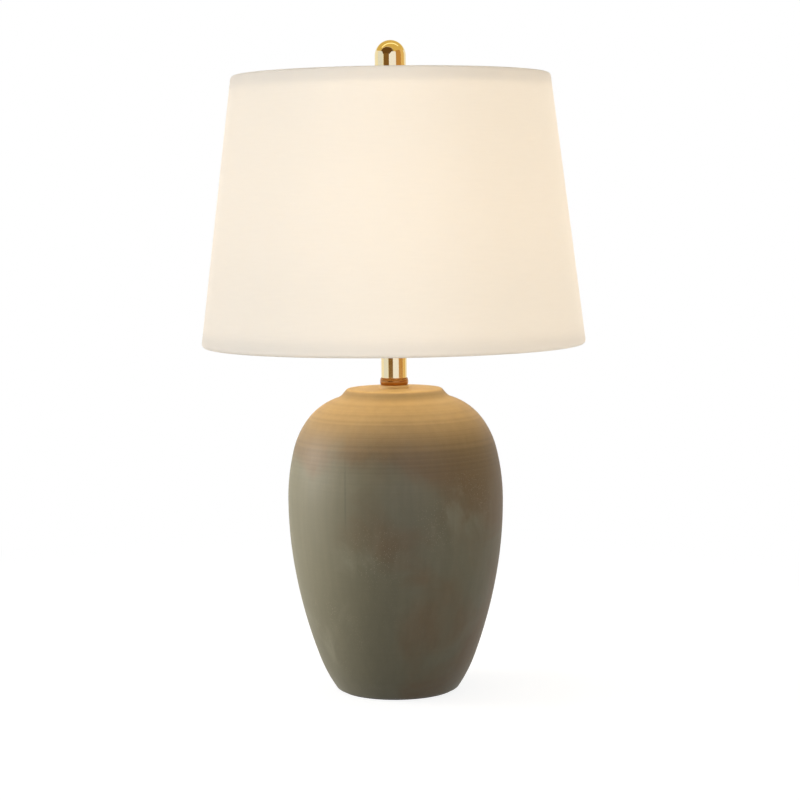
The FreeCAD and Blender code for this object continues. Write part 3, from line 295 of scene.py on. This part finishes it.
def metal(name, digits, roughness, mark_mm, mark_depth_mm, stretch=(1.0, 1.0, 1.0)):
    """A bare or plated metal: its colour, its polish, and the fine marks of its making.

    It is a little hazier in patches where hands have been.
    """
    patch_mm = 9
    material = blank(name)
    place = add(material, "TexCoord").outputs["Object"]
    laid = add(material, "Mapping", {"Vector": place, "Scale": stretch}).outputs["Vector"]
    marks = add(material, "TexNoise", {"Vector": laid, "Scale": across(mark_mm), "Detail": 4.0,
                                       "Roughness": 0.6}).outputs["Fac"]
    handled = add(material, "TexNoise", {"Vector": place, "Scale": across(patch_mm),
                                         "Detail": 3.0}).outputs["Fac"]
    polish = add(material, "MapRange", {"Value": handled, "From Min": 0.3, "From Max": 0.7,
                                        "To Min": roughness * 0.8, "To Max": roughness * 1.25})
    tone = add(material, "MapRange", {"Value": marks, "From Min": 0.25, "From Max": 0.75,
                                      "To Min": 0.97, "To Max": 1.0}).outputs["Result"]
    tinted = add(material, "VectorMath", {0: colour(digits)[:3], "Scale": tone}, operation="SCALE")
    bump = add(material, "Bump", {"Height": marks, "Strength": 0.3,
                                  "Distance": mark_depth_mm * MM})
    shader = add(material, "BsdfPrincipled", {"Base Color": tinted.outputs["Vector"],
                                              "Metallic": 1.0,
                                              "Roughness": polish.outputs["Result"],
                                              "Normal": bump.outputs["Normal"]})
    add(material, "OutputMaterial", {"Surface": shader.outputs[0]})
    return material


def moulding(name, digits, roughness, grain_mm, grain_depth_mm, tone_low=0.9, emission=None,
             strength=0.0):
    """A moulded, pressed or felted piece: its colour, its gloss and the grain of its surface."""
    material = blank(name)
    place = add(material, "TexCoord").outputs["Object"]
    grain = add(material, "TexNoise", {"Vector": place, "Scale": across(grain_mm), "Detail": 4.0,
                                       "Roughness": 0.6}).outputs["Fac"]
    tone = add(material, "MapRange", {"Value": grain, "From Min": 0.3, "From Max": 0.7,
                                      "To Min": tone_low, "To Max": 1.0}).outputs["Result"]
    tinted = add(material, "VectorMath", {0: colour(digits)[:3], "Scale": tone}, operation="SCALE")
    gloss = add(material, "MapRange", {"Value": grain, "To Min": roughness * 0.9,
                                       "To Max": min(1.0, roughness * 1.1)}).outputs["Result"]
    bump = add(material, "Bump", {"Height": grain, "Strength": 0.5,
                                  "Distance": grain_depth_mm * MM})
    inputs = {"Base Color": tinted.outputs["Vector"], "Roughness": gloss,
              "Normal": bump.outputs["Normal"]}
    if emission:
        inputs["Emission Color"] = colour(emission)
        inputs["Emission Strength"] = strength
    shader = add(material, "BsdfPrincipled", inputs)
    add(material, "OutputMaterial", {"Surface": shader.outputs[0]})
    return material


def clear_styrene():
    """Rolled styrene sheet behind the cloth: clear, with a satin face that lets light through."""
    wave_mm = 25
    sheet = blank("clear styrene sheet")
    place = add(sheet, "TexCoord").outputs["Object"]
    rolled = add(sheet, "TexNoise", {"Vector": place, "Scale": across(wave_mm),
                                     "Detail": 2.0}).outputs["Fac"]
    satin = add(sheet, "MapRange", {"Value": rolled, "To Min": 0.3, "To Max": 0.4})
    shader = add(sheet, "BsdfPrincipled", {"Base Color": colour("f6f1e6"), "Alpha": 0.22,
                                           "Roughness": satin.outputs["Result"]})
    add(sheet, "OutputMaterial", {"Surface": shader.outputs[0]})
    return sheet


def linen_cloth():
    """Cream linen-look cloth, plain woven and lit from behind: fine threads with a few slubs.

    The threads are 0.45 mm apart on the real cloth, and are drawn 0.9 mm apart so that they show.
    """
    drawn_mm = 0.9
    slub_mm = 1.4
    slub_length_share = 0.06
    let_through = 0.375
    cloth = blank("cream shade cloth")
    threads = add(cloth, "UVMap", uv_map="weave").outputs["UV"]
    # At a scale of 1, a wave texture repeats every pi / 10.
    bands = math.pi * across(drawn_mm) / 10
    warp, weft = [add(cloth, "TexWave", {"Vector": threads, "Scale": bands, "Distortion": 0.6,
                                         "Detail": 1.0, "Detail Scale": 0.4},
                      bands_direction=direction).outputs["Fac"] for direction in ("X", "Y")]
    weave = add(cloth, "Math", {0: warp, 1: weft}, operation="MAXIMUM").outputs[0]
    along = add(cloth, "Mapping", {"Vector": threads, "Scale": (slub_length_share, 1.0, 1.0)})
    slubs = add(cloth, "TexNoise", {"Vector": along.outputs["Vector"], "Scale": across(slub_mm),
                                    "Detail": 3.0}).outputs["Fac"]
    slub_tone = add(cloth, "MapRange", {"Value": slubs, "From Min": 0.3, "From Max": 0.75,
                                        "To Min": 0.985, "To Max": 1.0}).outputs["Result"]
    tone = add(cloth, "MapRange", {"Value": weave, "To Min": 0.965, "To Max": 1.0})
    tone = add(cloth, "Math", {0: tone.outputs["Result"], 1: slub_tone},
               operation="MULTIPLY").outputs[0]
    face = add(cloth, "VectorMath", {0: colour("faf4e8")[:3], "Scale": tone}, operation="SCALE")
    glow = add(cloth, "VectorMath", {0: colour("f9f1e3")[:3], "Scale": tone}, operation="SCALE")
    bump = add(cloth, "Bump", {"Height": weave, "Strength": 0.35,
                               "Distance": 0.12 * MM}).outputs["Normal"]
    front = add(cloth, "BsdfPrincipled", {"Base Color": face.outputs["Vector"], "Roughness": 0.85,
                                          "Sheen Weight": 0.1, "Normal": bump})
    behind = add(cloth, "BsdfTranslucent", {"Color": glow.outputs["Vector"], "Normal": bump})
    shader = add(cloth, "MixShader", {0: let_through, 1: front.outputs[0], 2: behind.outputs[0]})
    add(cloth, "OutputMaterial", {"Surface": shader.outputs[0]})
    return cloth


finishes = {
    "glaze": stoneware_glaze(),
    # Pressed wool: dull, and mottled with fibres
    "felt": moulding("wool felt", "4a3e34", 0.95, 0.6, 0.3, tone_low=0.7),
    # Dark and waxy
    "grommet_plastic": moulding("moulded polythene", "2c2723", 0.45, 0.8, 0.03),
    # A thin coat of zinc: grey-white, with a soft shine
    "zinc_steel": metal("zinc-plated steel", "c9cbcc", 0.32, 0.5, 0.01),
    # Buffed on a lathe: pale gold that mirrors the room, with hair-fine marks round the axis
    "polished_brass": metal("polished brass", "f1dca6", 0.07, 0.4, 0.002, stretch=(1.0, 1.0, 6.0)),
    # Brown under clear lacquer, and darker than the other brass partly as painted shade: it mirrors
    # the room darker and softer
    "dark_brass_and_painted_shade": metal("dark lacquered brass, with painted shade", "ae763c", 0.14, 0.4, 0.002),
    # Drawn wire and turned pieces under thin plating: warm and slightly hazy
    "plated_wire": metal("brass-plated steel wire", "e6c98a", 0.2, 0.4, 0.004),
    # Spun: satin, with fine turns round the axis
    "socket_brass": metal("spun brass shell", "e8cf98", 0.3, 0.35, 0.01, stretch=(0.15, 0.15, 3.0)),
    # Dry and flecked with fibre
    "card": moulding("pressed card", "a98f68", 0.9, 0.7, 0.05, tone_low=0.82),
    # Black and hard, with a low gloss
    "switch_moulding": moulding("phenolic moulding", "1c1b1a", 0.38, 0.6, 0.01),
    # Silver grey, with fine turns round the axis
    "bare_aluminium": metal("drawn aluminium", "d9dadb", 0.28, 0.4, 0.008, stretch=(0.2, 0.2, 3.0)),
    # Buffed black, with a clear highlight
    "knob_plastic": moulding("polished phenolic", "171514", 0.18, 1.2, 0.004),
    # Smooth and white, with an even soft gloss
    "bulb_housing": moulding("white moulded housing", "efeee9", 0.3, 1.0, 0.006, tone_low=0.97),
    # Opal plastic: it spreads the light to an even warm glow
    "bulb_diffuser": moulding("opal diffuser, lit", "fff6e6", 0.4, 1.5, 0.01, tone_low=0.97,
                              emission="ffdca6", strength=1.2),
    # Bright, and a little warmer than steel
    "bulb_cap": metal("nickel-plated cap", "cfcbc4", 0.22, 0.4, 0.004),
    # Fused: near black and shiny
    "bulb_glass_insulator": moulding("black glass", "14151a", 0.1, 1.0, 0.003),
    "clear_styrene": clear_styrene(),
    "shade_cloth": linen_cloth(),
}
slot_of = {row["node"]: row["material_slot"] for row in frame["record"]["subparts"]}
# The neck ring takes a darker copy of the brass, partly as painted shade low under the neck.
finish_of = dict(slot_of, neck_ring="dark_brass_and_painted_shade")


# Pieces from the frame: each takes its finish, with its facets joined and shaded as one

def smooth_shading(piece, crease_degrees=32):
    """Shade a piece smoothly, with a sharp edge wherever its faces turn by more than this."""
    for face in piece.data.polygons:
        face.use_smooth = True
    split = piece.modifiers.new("crease", "EDGE_SPLIT")
    split.split_angle = math.radians(crease_degrees)


for name, node in nodes.items():
    node.data.materials.clear()
    node.data.materials.append(finishes[finish_of[name]])
    weld = node.modifiers.new("joined", "WELD")
    weld.merge_threshold = 0.002 * MM
    smooth_shading(node)
# The bulb's light is inside its globe, so the globe mustn't stop it.
nodes["bulb_globe"].visible_shadow = False


# Shade cloth: one sheet, rolled over both rim wires, tucked in behind and lapped at the back

def finished(name, mesh_edit, slot_name, body, replaced=()):
    """Make a mesh a piece of the lamp, with its finish, that rides on a body."""
    mesh = bpy.data.meshes.new(name)
    mesh_edit.to_mesh(mesh)
    mesh_edit.free()
    mesh.materials.append(finishes[slot_name])
    piece = bpy.data.objects.new(name, mesh)
    bpy.context.scene.collection.objects.link(piece)
    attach(piece, body)
    if replaced:
        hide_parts(*replaced)
    return piece


def swung(work, tip, centre, degrees, steps):
    """Carry on a profile from its tip by an arc about a centre, and return the new tip."""
    arc = bmesh.ops.spin(work, geom=[tip], cent=(centre.x, 0, centre.z), axis=(0, 1, 0),
                         angle=math.radians(degrees), steps=steps)
    return next(part for part in arc["geom_last"] if isinstance(part, bmesh.types.BMVert))


def drawn_to(work, tip, point):
    """Carry on a profile from its tip by a line, and return the new tip."""
    end = work.verts.new((point.x, 0, point.z))
    work.edges.new((tip, end))
    return end


def ring_line(name):
    """A rim wire's centre in the X-Z plane, and the radius of the wire."""
    low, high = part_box(name)
    wire = (high.z - low.z) / 2
    return Vector((high.x - wire, 0, (high.z + low.z) / 2)), wire


def shade_cloth():
    """The sheet of cloth on the shade's frame."""
    cloth_gap = 1.3 * MM
    hem = 9 * MM
    hem_depth = 2.6 * MM
    lap = 10 * MM
    lap_columns = 4
    lap_lift_share = 1.15
    column_degrees = 2
    columns = 178
    rows = 24
    roll_steps = 10
    seam_degrees = 75
    arm_degrees = (90, 210, 330)
    thickness = 0.5 * MM
    crease_degrees = 45
    column = math.radians(column_degrees)
    seam = math.radians(seam_degrees)
    top, wire = ring_line("shade_top_ring")
    foot, _ = ring_line("shade_bottom_ring")
    roll = wire + cloth_gap
    down = (foot - top).normalized()
    out = Vector((-down.z, 0, down.x))

    work = bmesh.new()
    tip = work.verts.new(foot - down * hem + out * (roll - hem_depth))
    tip = drawn_to(work, tip, foot - out * roll)
    tip = swung(work, tip, foot, -180, roll_steps)
    start, end = foot + out * roll, top + out * roll
    for row in range(1, rows + 1):
        tip = drawn_to(work, tip, start.lerp(end, row / rows))
    tip = swung(work, tip, top, -180, roll_steps)
    drawn_to(work, tip, top + down * hem + out * (roll - hem_depth))

    bmesh.ops.rotate(work, cent=(0, 0, 0), matrix=Matrix.Rotation(seam, 3, "Z"), verts=work.verts)
    side = bmesh.ops.spin(work, geom=work.verts[:] + work.edges[:], cent=(0, 0, 0),
                          axis=(0, 0, 1), angle=column * columns, steps=columns)
    before = set(work.verts)
    bmesh.ops.spin(work, geom=side["geom_last"], cent=(0, 0, 0), axis=(0, 0, 1),
                   angle=column * 2 + lap / top.x, steps=lap_columns)
    raised = [vert for vert in work.verts if vert not in before]
    outward = 1 + thickness * lap_lift_share / top.x
    bmesh.ops.scale(work, vec=(outward, outward, 1), verts=raised)

    # The inner hem is notched where each arm of the spider meets the top ring.
    notches = []
    for face in work.faces:
        middle = face.calc_center_median()
        angle = math.degrees(math.atan2(middle.y, middle.x)) % 360
        inside = Vector((middle.x, middle.y)).length < top.x
        beside_arm = min(abs(angle - arm) for arm in arm_degrees) < column_degrees / 2
        if inside and beside_arm and top.z - hem - wire < middle.z < top.z + wire:
            notches.append(face)
    bmesh.ops.delete(work, geom=notches, context="FACES")
    bmesh.ops.recalc_face_normals(work, faces=work.faces)

    weave = work.loops.layers.uv.new("weave")
    for face in work.faces:
        middle = face.calc_center_median()
        centre_angle = math.atan2(middle.y, middle.x)
        for loop in face.loops:
            angle = math.atan2(loop.vert.co.y, loop.vert.co.x)
            angle += math.tau * round((centre_angle - angle) / math.tau)
            loop[weave].uv = (angle * foot.x, loop.vert.co.z)
    cloth = finished("shade_linen", work, "shade_cloth", "shade", ["shade_cover"])
    walls = cloth.modifiers.new("thickness", "SOLIDIFY")
    walls.thickness = thickness
    walls.offset = -1
    smooth_shading(cloth, crease_degrees)
    return cloth


cloth = shade_cloth()


# Threads: rolled on the bulb's cap and cut on the harp's stud, each a real helix

def threaded_solid(root, crest, pitch, start, end, below, above):
    """A solid rod, threaded from start to end, with plain rings beyond each end.

    Each ring is a radius and a height, and they go from the thread outwards.
    """
    points_per_pitch = 12
    steps_per_turn = 48
    spare_turns = 2
    turns_before_start = 1.5
    merged_within = 0.01 * MM
    cut_within = 0.0001 * MM
    work = bmesh.new()
    last = None
    for point in range(points_per_pitch + 1):
        share = point / points_per_pitch
        radius = root + (crest - root) * (1 - math.cos(math.tau * share)) / 2
        vert = work.verts.new((radius, 0, start + pitch * (share - turns_before_start)))
        if last:
            work.edges.new((last, vert))
        last = vert
    turns = math.ceil((end - start) / pitch) + spare_turns
    bmesh.ops.spin(work, geom=work.verts[:] + work.edges[:], cent=(0, 0, 0), axis=(0, 0, 1),
                   dvec=(0, 0, pitch / steps_per_turn), angle=math.tau * turns,
                   steps=turns * steps_per_turn)
    bmesh.ops.remove_doubles(work, verts=work.verts, dist=merged_within)
    for height, outward in ((start, -1), (end, 1)):
        bmesh.ops.bisect_plane(work, geom=work.verts[:] + work.edges[:] + work.faces[:],
                               dist=cut_within, plane_co=(0, 0, height),
                               plane_no=(0, 0, outward), clear_outer=True)
    middle = (start + end) / 2
    for rings, upper in ((below, False), (above, True)):
        for radius, height in rings:
            rim = [edge for edge in work.edges
                   if edge.is_boundary and (edge.verts[0].co.z > middle) == upper]
            grown = bmesh.ops.extrude_edge_only(work, edges=rim)["geom"]
            for vert in (part for part in grown if isinstance(part, bmesh.types.BMVert)):
                spread = radius / math.hypot(vert.co.x, vert.co.y)
                vert.co = (vert.co.x * spread, vert.co.y * spread, height)
    open_edges = [edge for edge in work.edges if edge.is_boundary]
    bmesh.ops.holes_fill(work, edges=open_edges, sides=0)
    bmesh.ops.recalc_face_normals(work, faces=work.faces)
    return work


def bulb_cap():
    """The bulb's rolled cap: 26 mm across, seven threads to the inch, with a plain band above."""
    pitch = 3.63 * MM
    thread_depth = 0.75 * MM
    lip = 1.6 * MM
    band_height = 2.4 * MM
    run_out = 0.6 * MM
    low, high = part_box("bulb_screw_base")
    radius = high.x
    band = high.z - band_height
    work = threaded_solid(radius - thread_depth, radius, pitch, low.z + lip, band - run_out,
                          [(radius - lip, low.z)], [(radius, band), (radius, high.z)])
    smooth_shading(finished("bulb_thread", work, "bulb_cap", "bulb", ["bulb_screw_base"]))


def stud_thread():
    """The harp's riveted stud, with its flange and its cut thread of 27 to the inch."""
    pitch = 0.94 * MM
    thread_depth = 0.4 * MM
    chamfer = 0.6 * MM
    crest = 3.1 * MM
    pin = 2.4 * MM
    rivet = 3.8 * MM
    rivet_height = 1.2 * MM
    foot_rise = 6.0 * MM
    top_rise = 8.5 * MM
    low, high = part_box("harp_stud")
    flange = high.x
    pin_end = low.z + rivet_height
    flange_foot = low.z + foot_rise
    flange_top = low.z + top_rise
    below = [(flange, flange_top), (flange, flange_foot), (pin, flange_foot), (pin, pin_end),
             (rivet, pin_end), (rivet, low.z)]
    work = threaded_solid(crest - thread_depth, crest, pitch, flange_top, high.z - chamfer, below,
                          [(crest - chamfer, high.z)])
    smooth_shading(finished("stud_thread", work, "plated_wire", "stud", ["harp_stud"]))


bulb_cap()
stud_thread()


# Studio: a pale floor, and cards that stand for the room in the shiny pieces

def seen_rays(material):
    """1 for the rays that the eye follows straight, off a mirror or through glass, and else 0."""
    path = add(material, "LightPath").outputs
    seen = add(material, "Math", {0: path["Is Camera Ray"], 1: path["Is Glossy Ray"]},
               operation="MAXIMUM").outputs[0]
    return add(material, "Math", {0: seen, 1: path["Is Transmission Ray"]},
               operation="MAXIMUM").outputs[0]


def studio_surface(name, digits, seen_light, seen_share):
    """A pale surface that the camera sees almost white, less the lamp's soft shadow."""
    shadows_from, shadows_to = 0.2, 0.9
    surface = blank(name)
    matt = add(surface, "BsdfDiffuse", {"Color": colour(digits)})
    shadowed = add(surface, "BsdfDiffuse", {"Color": (seen_share, seen_share, seen_share, 1)})
    white = add(surface, "Emission", {"Color": (1, 1, 1, 1), "Strength": seen_light})
    both = add(surface, "AddShader", {0: shadowed.outputs[0], 1: white.outputs[0]})
    place = add(surface, "TexCoord").outputs["Object"]
    away = add(surface, "VectorMath", {0: place}, operation="LENGTH").outputs["Value"]
    far = add(surface, "MapRange", {"Value": away, "From Min": shadows_from,
                                    "From Max": shadows_to},
              interpolation_type="SMOOTHSTEP").outputs["Result"]
    plain = add(surface, "Emission", {"Color": (1, 1, 1, 1), "Strength": 1.0})
    faded = add(surface, "MixShader", {0: far, 1: both.outputs[0], 2: plain.outputs[0]})
    shader = add(surface, "MixShader", {0: seen_rays(surface), 1: matt.outputs[0],
                                        2: faded.outputs[0]})
    add(surface, "OutputMaterial", {"Surface": shader.outputs[0]})
    return surface


def stage_piece(name, work, material):
    """A floor or a card of the studio, which isn't part of the lamp."""
    mesh = bpy.data.meshes.new(name)
    work.to_mesh(mesh)
    work.free()
    mesh.materials.append(material)
    piece = bpy.data.objects.new(name, mesh)
    bpy.context.scene.collection.objects.link(piece)
    return piece


FLOOR_REACH = 6
FLOOR_DROP = 0.4 * MM
floor_work = bmesh.new()
bmesh.ops.create_grid(floor_work, x_segments=1, y_segments=1, size=FLOOR_REACH)
bmesh.ops.translate(floor_work, vec=(0, 0, -FLOOR_DROP), verts=floor_work.verts)
pale_floor = studio_surface("pale studio floor", "8c8a86", seen_light=0.86, seen_share=0.28)
stage_piece("floor", floor_work, pale_floor)

SQUARE = 4
ROUND = 48


def reflection_card(name, place, azimuth, lean, width, height, digits, strength=1.0,
                    corners=SQUARE):
    """A card that only shiny surfaces see: a window or a wall of the room round the lamp."""
    card = blank(name)
    plain = add(card, "Emission", {"Color": colour(digits), "Strength": strength})
    add(card, "OutputMaterial", {"Surface": plain.outputs[0]})
    half = 0.5
    work = bmesh.new()
    if corners == SQUARE:
        bmesh.ops.create_grid(work, x_segments=1, y_segments=1, size=half)
    else:
        bmesh.ops.create_circle(work, cap_ends=True, segments=corners, radius=half)
    bmesh.ops.scale(work, vec=(width, height, 1), verts=work.verts)
    stand = Matrix.Rotation(math.radians(azimuth), 4, "Z") @ Matrix.Translation(place)
    upright = Matrix.Rotation(math.radians(90 - lean), 4, "X")
    bmesh.ops.transform(work, matrix=stand @ upright, verts=work.verts)
    piece = stage_piece(name, work, card)
    piece.visible_camera = False
    piece.visible_diffuse = False
    piece.visible_transmission = False
    piece.visible_shadow = False


# Each has its place before it is swung round the lamp, then that swing and its lean in degrees.
reflection_card("left window", (0, -2.9, 1.0), -80, 0, 2.6, 2.0, "d8e2ff", 1.25)
reflection_card("dark curtain", (0, -2.8, 1.0), -30, 0, 2.1, 2.0, "846339")
reflection_card("front window", (0, -2.9, 1.05), 17, 0, 2.7, 2.1, "d5dcff", 1.5)
reflection_card("wooden door", (0, -2.8, 1.2), 64, 0, 2.2, 2.4, "c7975c")
reflection_card("tan wall", (0, -2.9, 1.2), 104, 0, 1.9, 2.4, "ebca8f")
reflection_card("tan ceiling", (0, 0, 4.2), 0, 90, 16.0, 16.0, "e1c479")
reflection_card("frame of the oval mirror", (0, -2.4, 2.45), -27, 35, 6.3, 3.5, "8a6328",
                corners=ROUND)
reflection_card("rim of the oval mirror", (0, -2.3, 2.3), -27, 35, 5.8, 3.2, "fff0cf",
                corners=ROUND)
reflection_card("oval mirror", (0, -2.2, 2.12), -27, 35, 5.2, 2.8, "6b4d2a", corners=ROUND)
reflection_card("strip light", (-0.2, 0.6, 4.0), 8, 90, 6.4, 0.5, "fff4d0", 1.8)


# Lamps: a soft key on the jar from the left, five on the cloth, and the lit bulb

def light_group(name, pieces, left_out=False):
    """The pieces that alone take a lamp's light, or that alone are left out of it."""
    group = bpy.data.collections.new(name)
    for piece in pieces:
        group.objects.link(piece)
    if left_out:
        for member in group.collection_objects:
            member.light_linking.link_state = "EXCLUDE"
    return group


def lamp(name, kind, place, energy, digits, size, lights, aim=None):
    """A light of the studio, or the lit bulb, that shines on one light group."""
    light = bpy.data.lights.new(name, kind)
    light.energy = energy
    light.color = colour(digits)[:3]
    if kind == "AREA":
        light.shape = "DISK"
        light.size = size
    else:
        light.shadow_soft_size = size
    holder = bpy.data.objects.new(name, light)
    holder.location = place
    if aim is not None:
        holder.rotation_mode = "QUATERNION"
        holder.rotation_quaternion = (Vector(aim) - Vector(place)).to_track_quat("-Z", "Y")
    holder.visible_camera = False
    holder.light_linking.receiver_collection = lights
    bpy.context.scene.collection.objects.link(holder)
    return holder


SOFT_BOX = 1.1
GLOBE_FILLED = 0.95
JAR_MIDDLE = (0, 0, 0.2)
SHADE_MIDDLE = (0, 0, 0.4)
brass = [nodes[name] for name, finish in finish_of.items()
         if finish in ("polished_brass", "dark_brass_and_painted_shade")]
shade_sheets = [cloth, nodes["shade_panel"]]
off_key = light_group("all but the cloth and the brass", [cloth, *brass], left_out=True)
on_cloth = light_group("the cloth", [cloth])
on_sheets = light_group("the cloth and its clear sheet", shade_sheets)
off_sheets = light_group("all but the cloth and its clear sheet", shade_sheets, left_out=True)

lamp("key", "AREA", (-2.0, 0.15, 0.6), 35, "fffaf2", SOFT_BOX, off_key, JAR_MIDDLE)
for name, place, energy, digits in [
        ("shade key", (-1.9, -1.3, 0.8), 33.5, "eaf2ff"),
        ("shade fill", (1.6, -1.6, 0.3), 33, "f8f5f3"),
        ("shade back light, left", (-0.9, 2.2, 0.5), 24, "fffaf2"),
        ("shade back light, right", (1.2, 2.1, 0.5), 24, "fffaf2")]:
    lamp(name, "AREA", place, energy, digits, SOFT_BOX, on_cloth, SHADE_MIDDLE)
floor_lift = lamp("light off the floor on the shade", "AREA", (0, 0, 0.002), 5.5, "f4f6ff", 2.4,
                  on_cloth, (0, 0, 1))
floor_lift.visible_glossy = False

# The bulb glows less on the cloth, so that the inside of the shade doesn't clip to white. A wide
# lamp stands for the light that the shade throws down on the jar. They move with bulb and shade.
globe_low, globe_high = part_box("bulb_globe")
globe_radius = (globe_high.x - globe_low.x) / 2
glow_place = (0, 0, globe_high.z - globe_radius)
glow_radius = globe_radius * GLOBE_FILLED
sheet_glow = lamp("bulb glow on the shade", "POINT", glow_place, 0.735, "fff4e8", glow_radius,
                  on_sheets)
bulb_glow = lamp("bulb glow", "POINT", glow_place, 2.7, "fff0dc", glow_radius, off_sheets)
bounce = lamp("light off the inside of the shade", "AREA", (0.05, 0, 0.335), 0.29, "ffedbc", 0.3,
              off_sheets, (0.05, 0, 0))
for holder, carrier in ((sheet_glow, "bulb"), (bulb_glow, "bulb"), (bounce, "shade")):
    holder.visible_glossy = False
    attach(holder, carrier)

WORLD_SEEN = 1.0
WORLD_LIGHT = 0.42
world = bpy.data.worlds.new("studio")
bpy.context.scene.world = world
world.use_nodes = True
world.node_tree.nodes.clear()
level = add(world, "MapRange", {"Value": seen_rays(world), "To Min": WORLD_LIGHT,
                                "To Max": WORLD_SEEN})
light = add(world, "Background", {"Color": (1, 1, 1, 1), "Strength": level.outputs["Result"]})
add(world, "OutputWorld", {"Surface": light.outputs[0]})


bpy.context.view_layer.update()
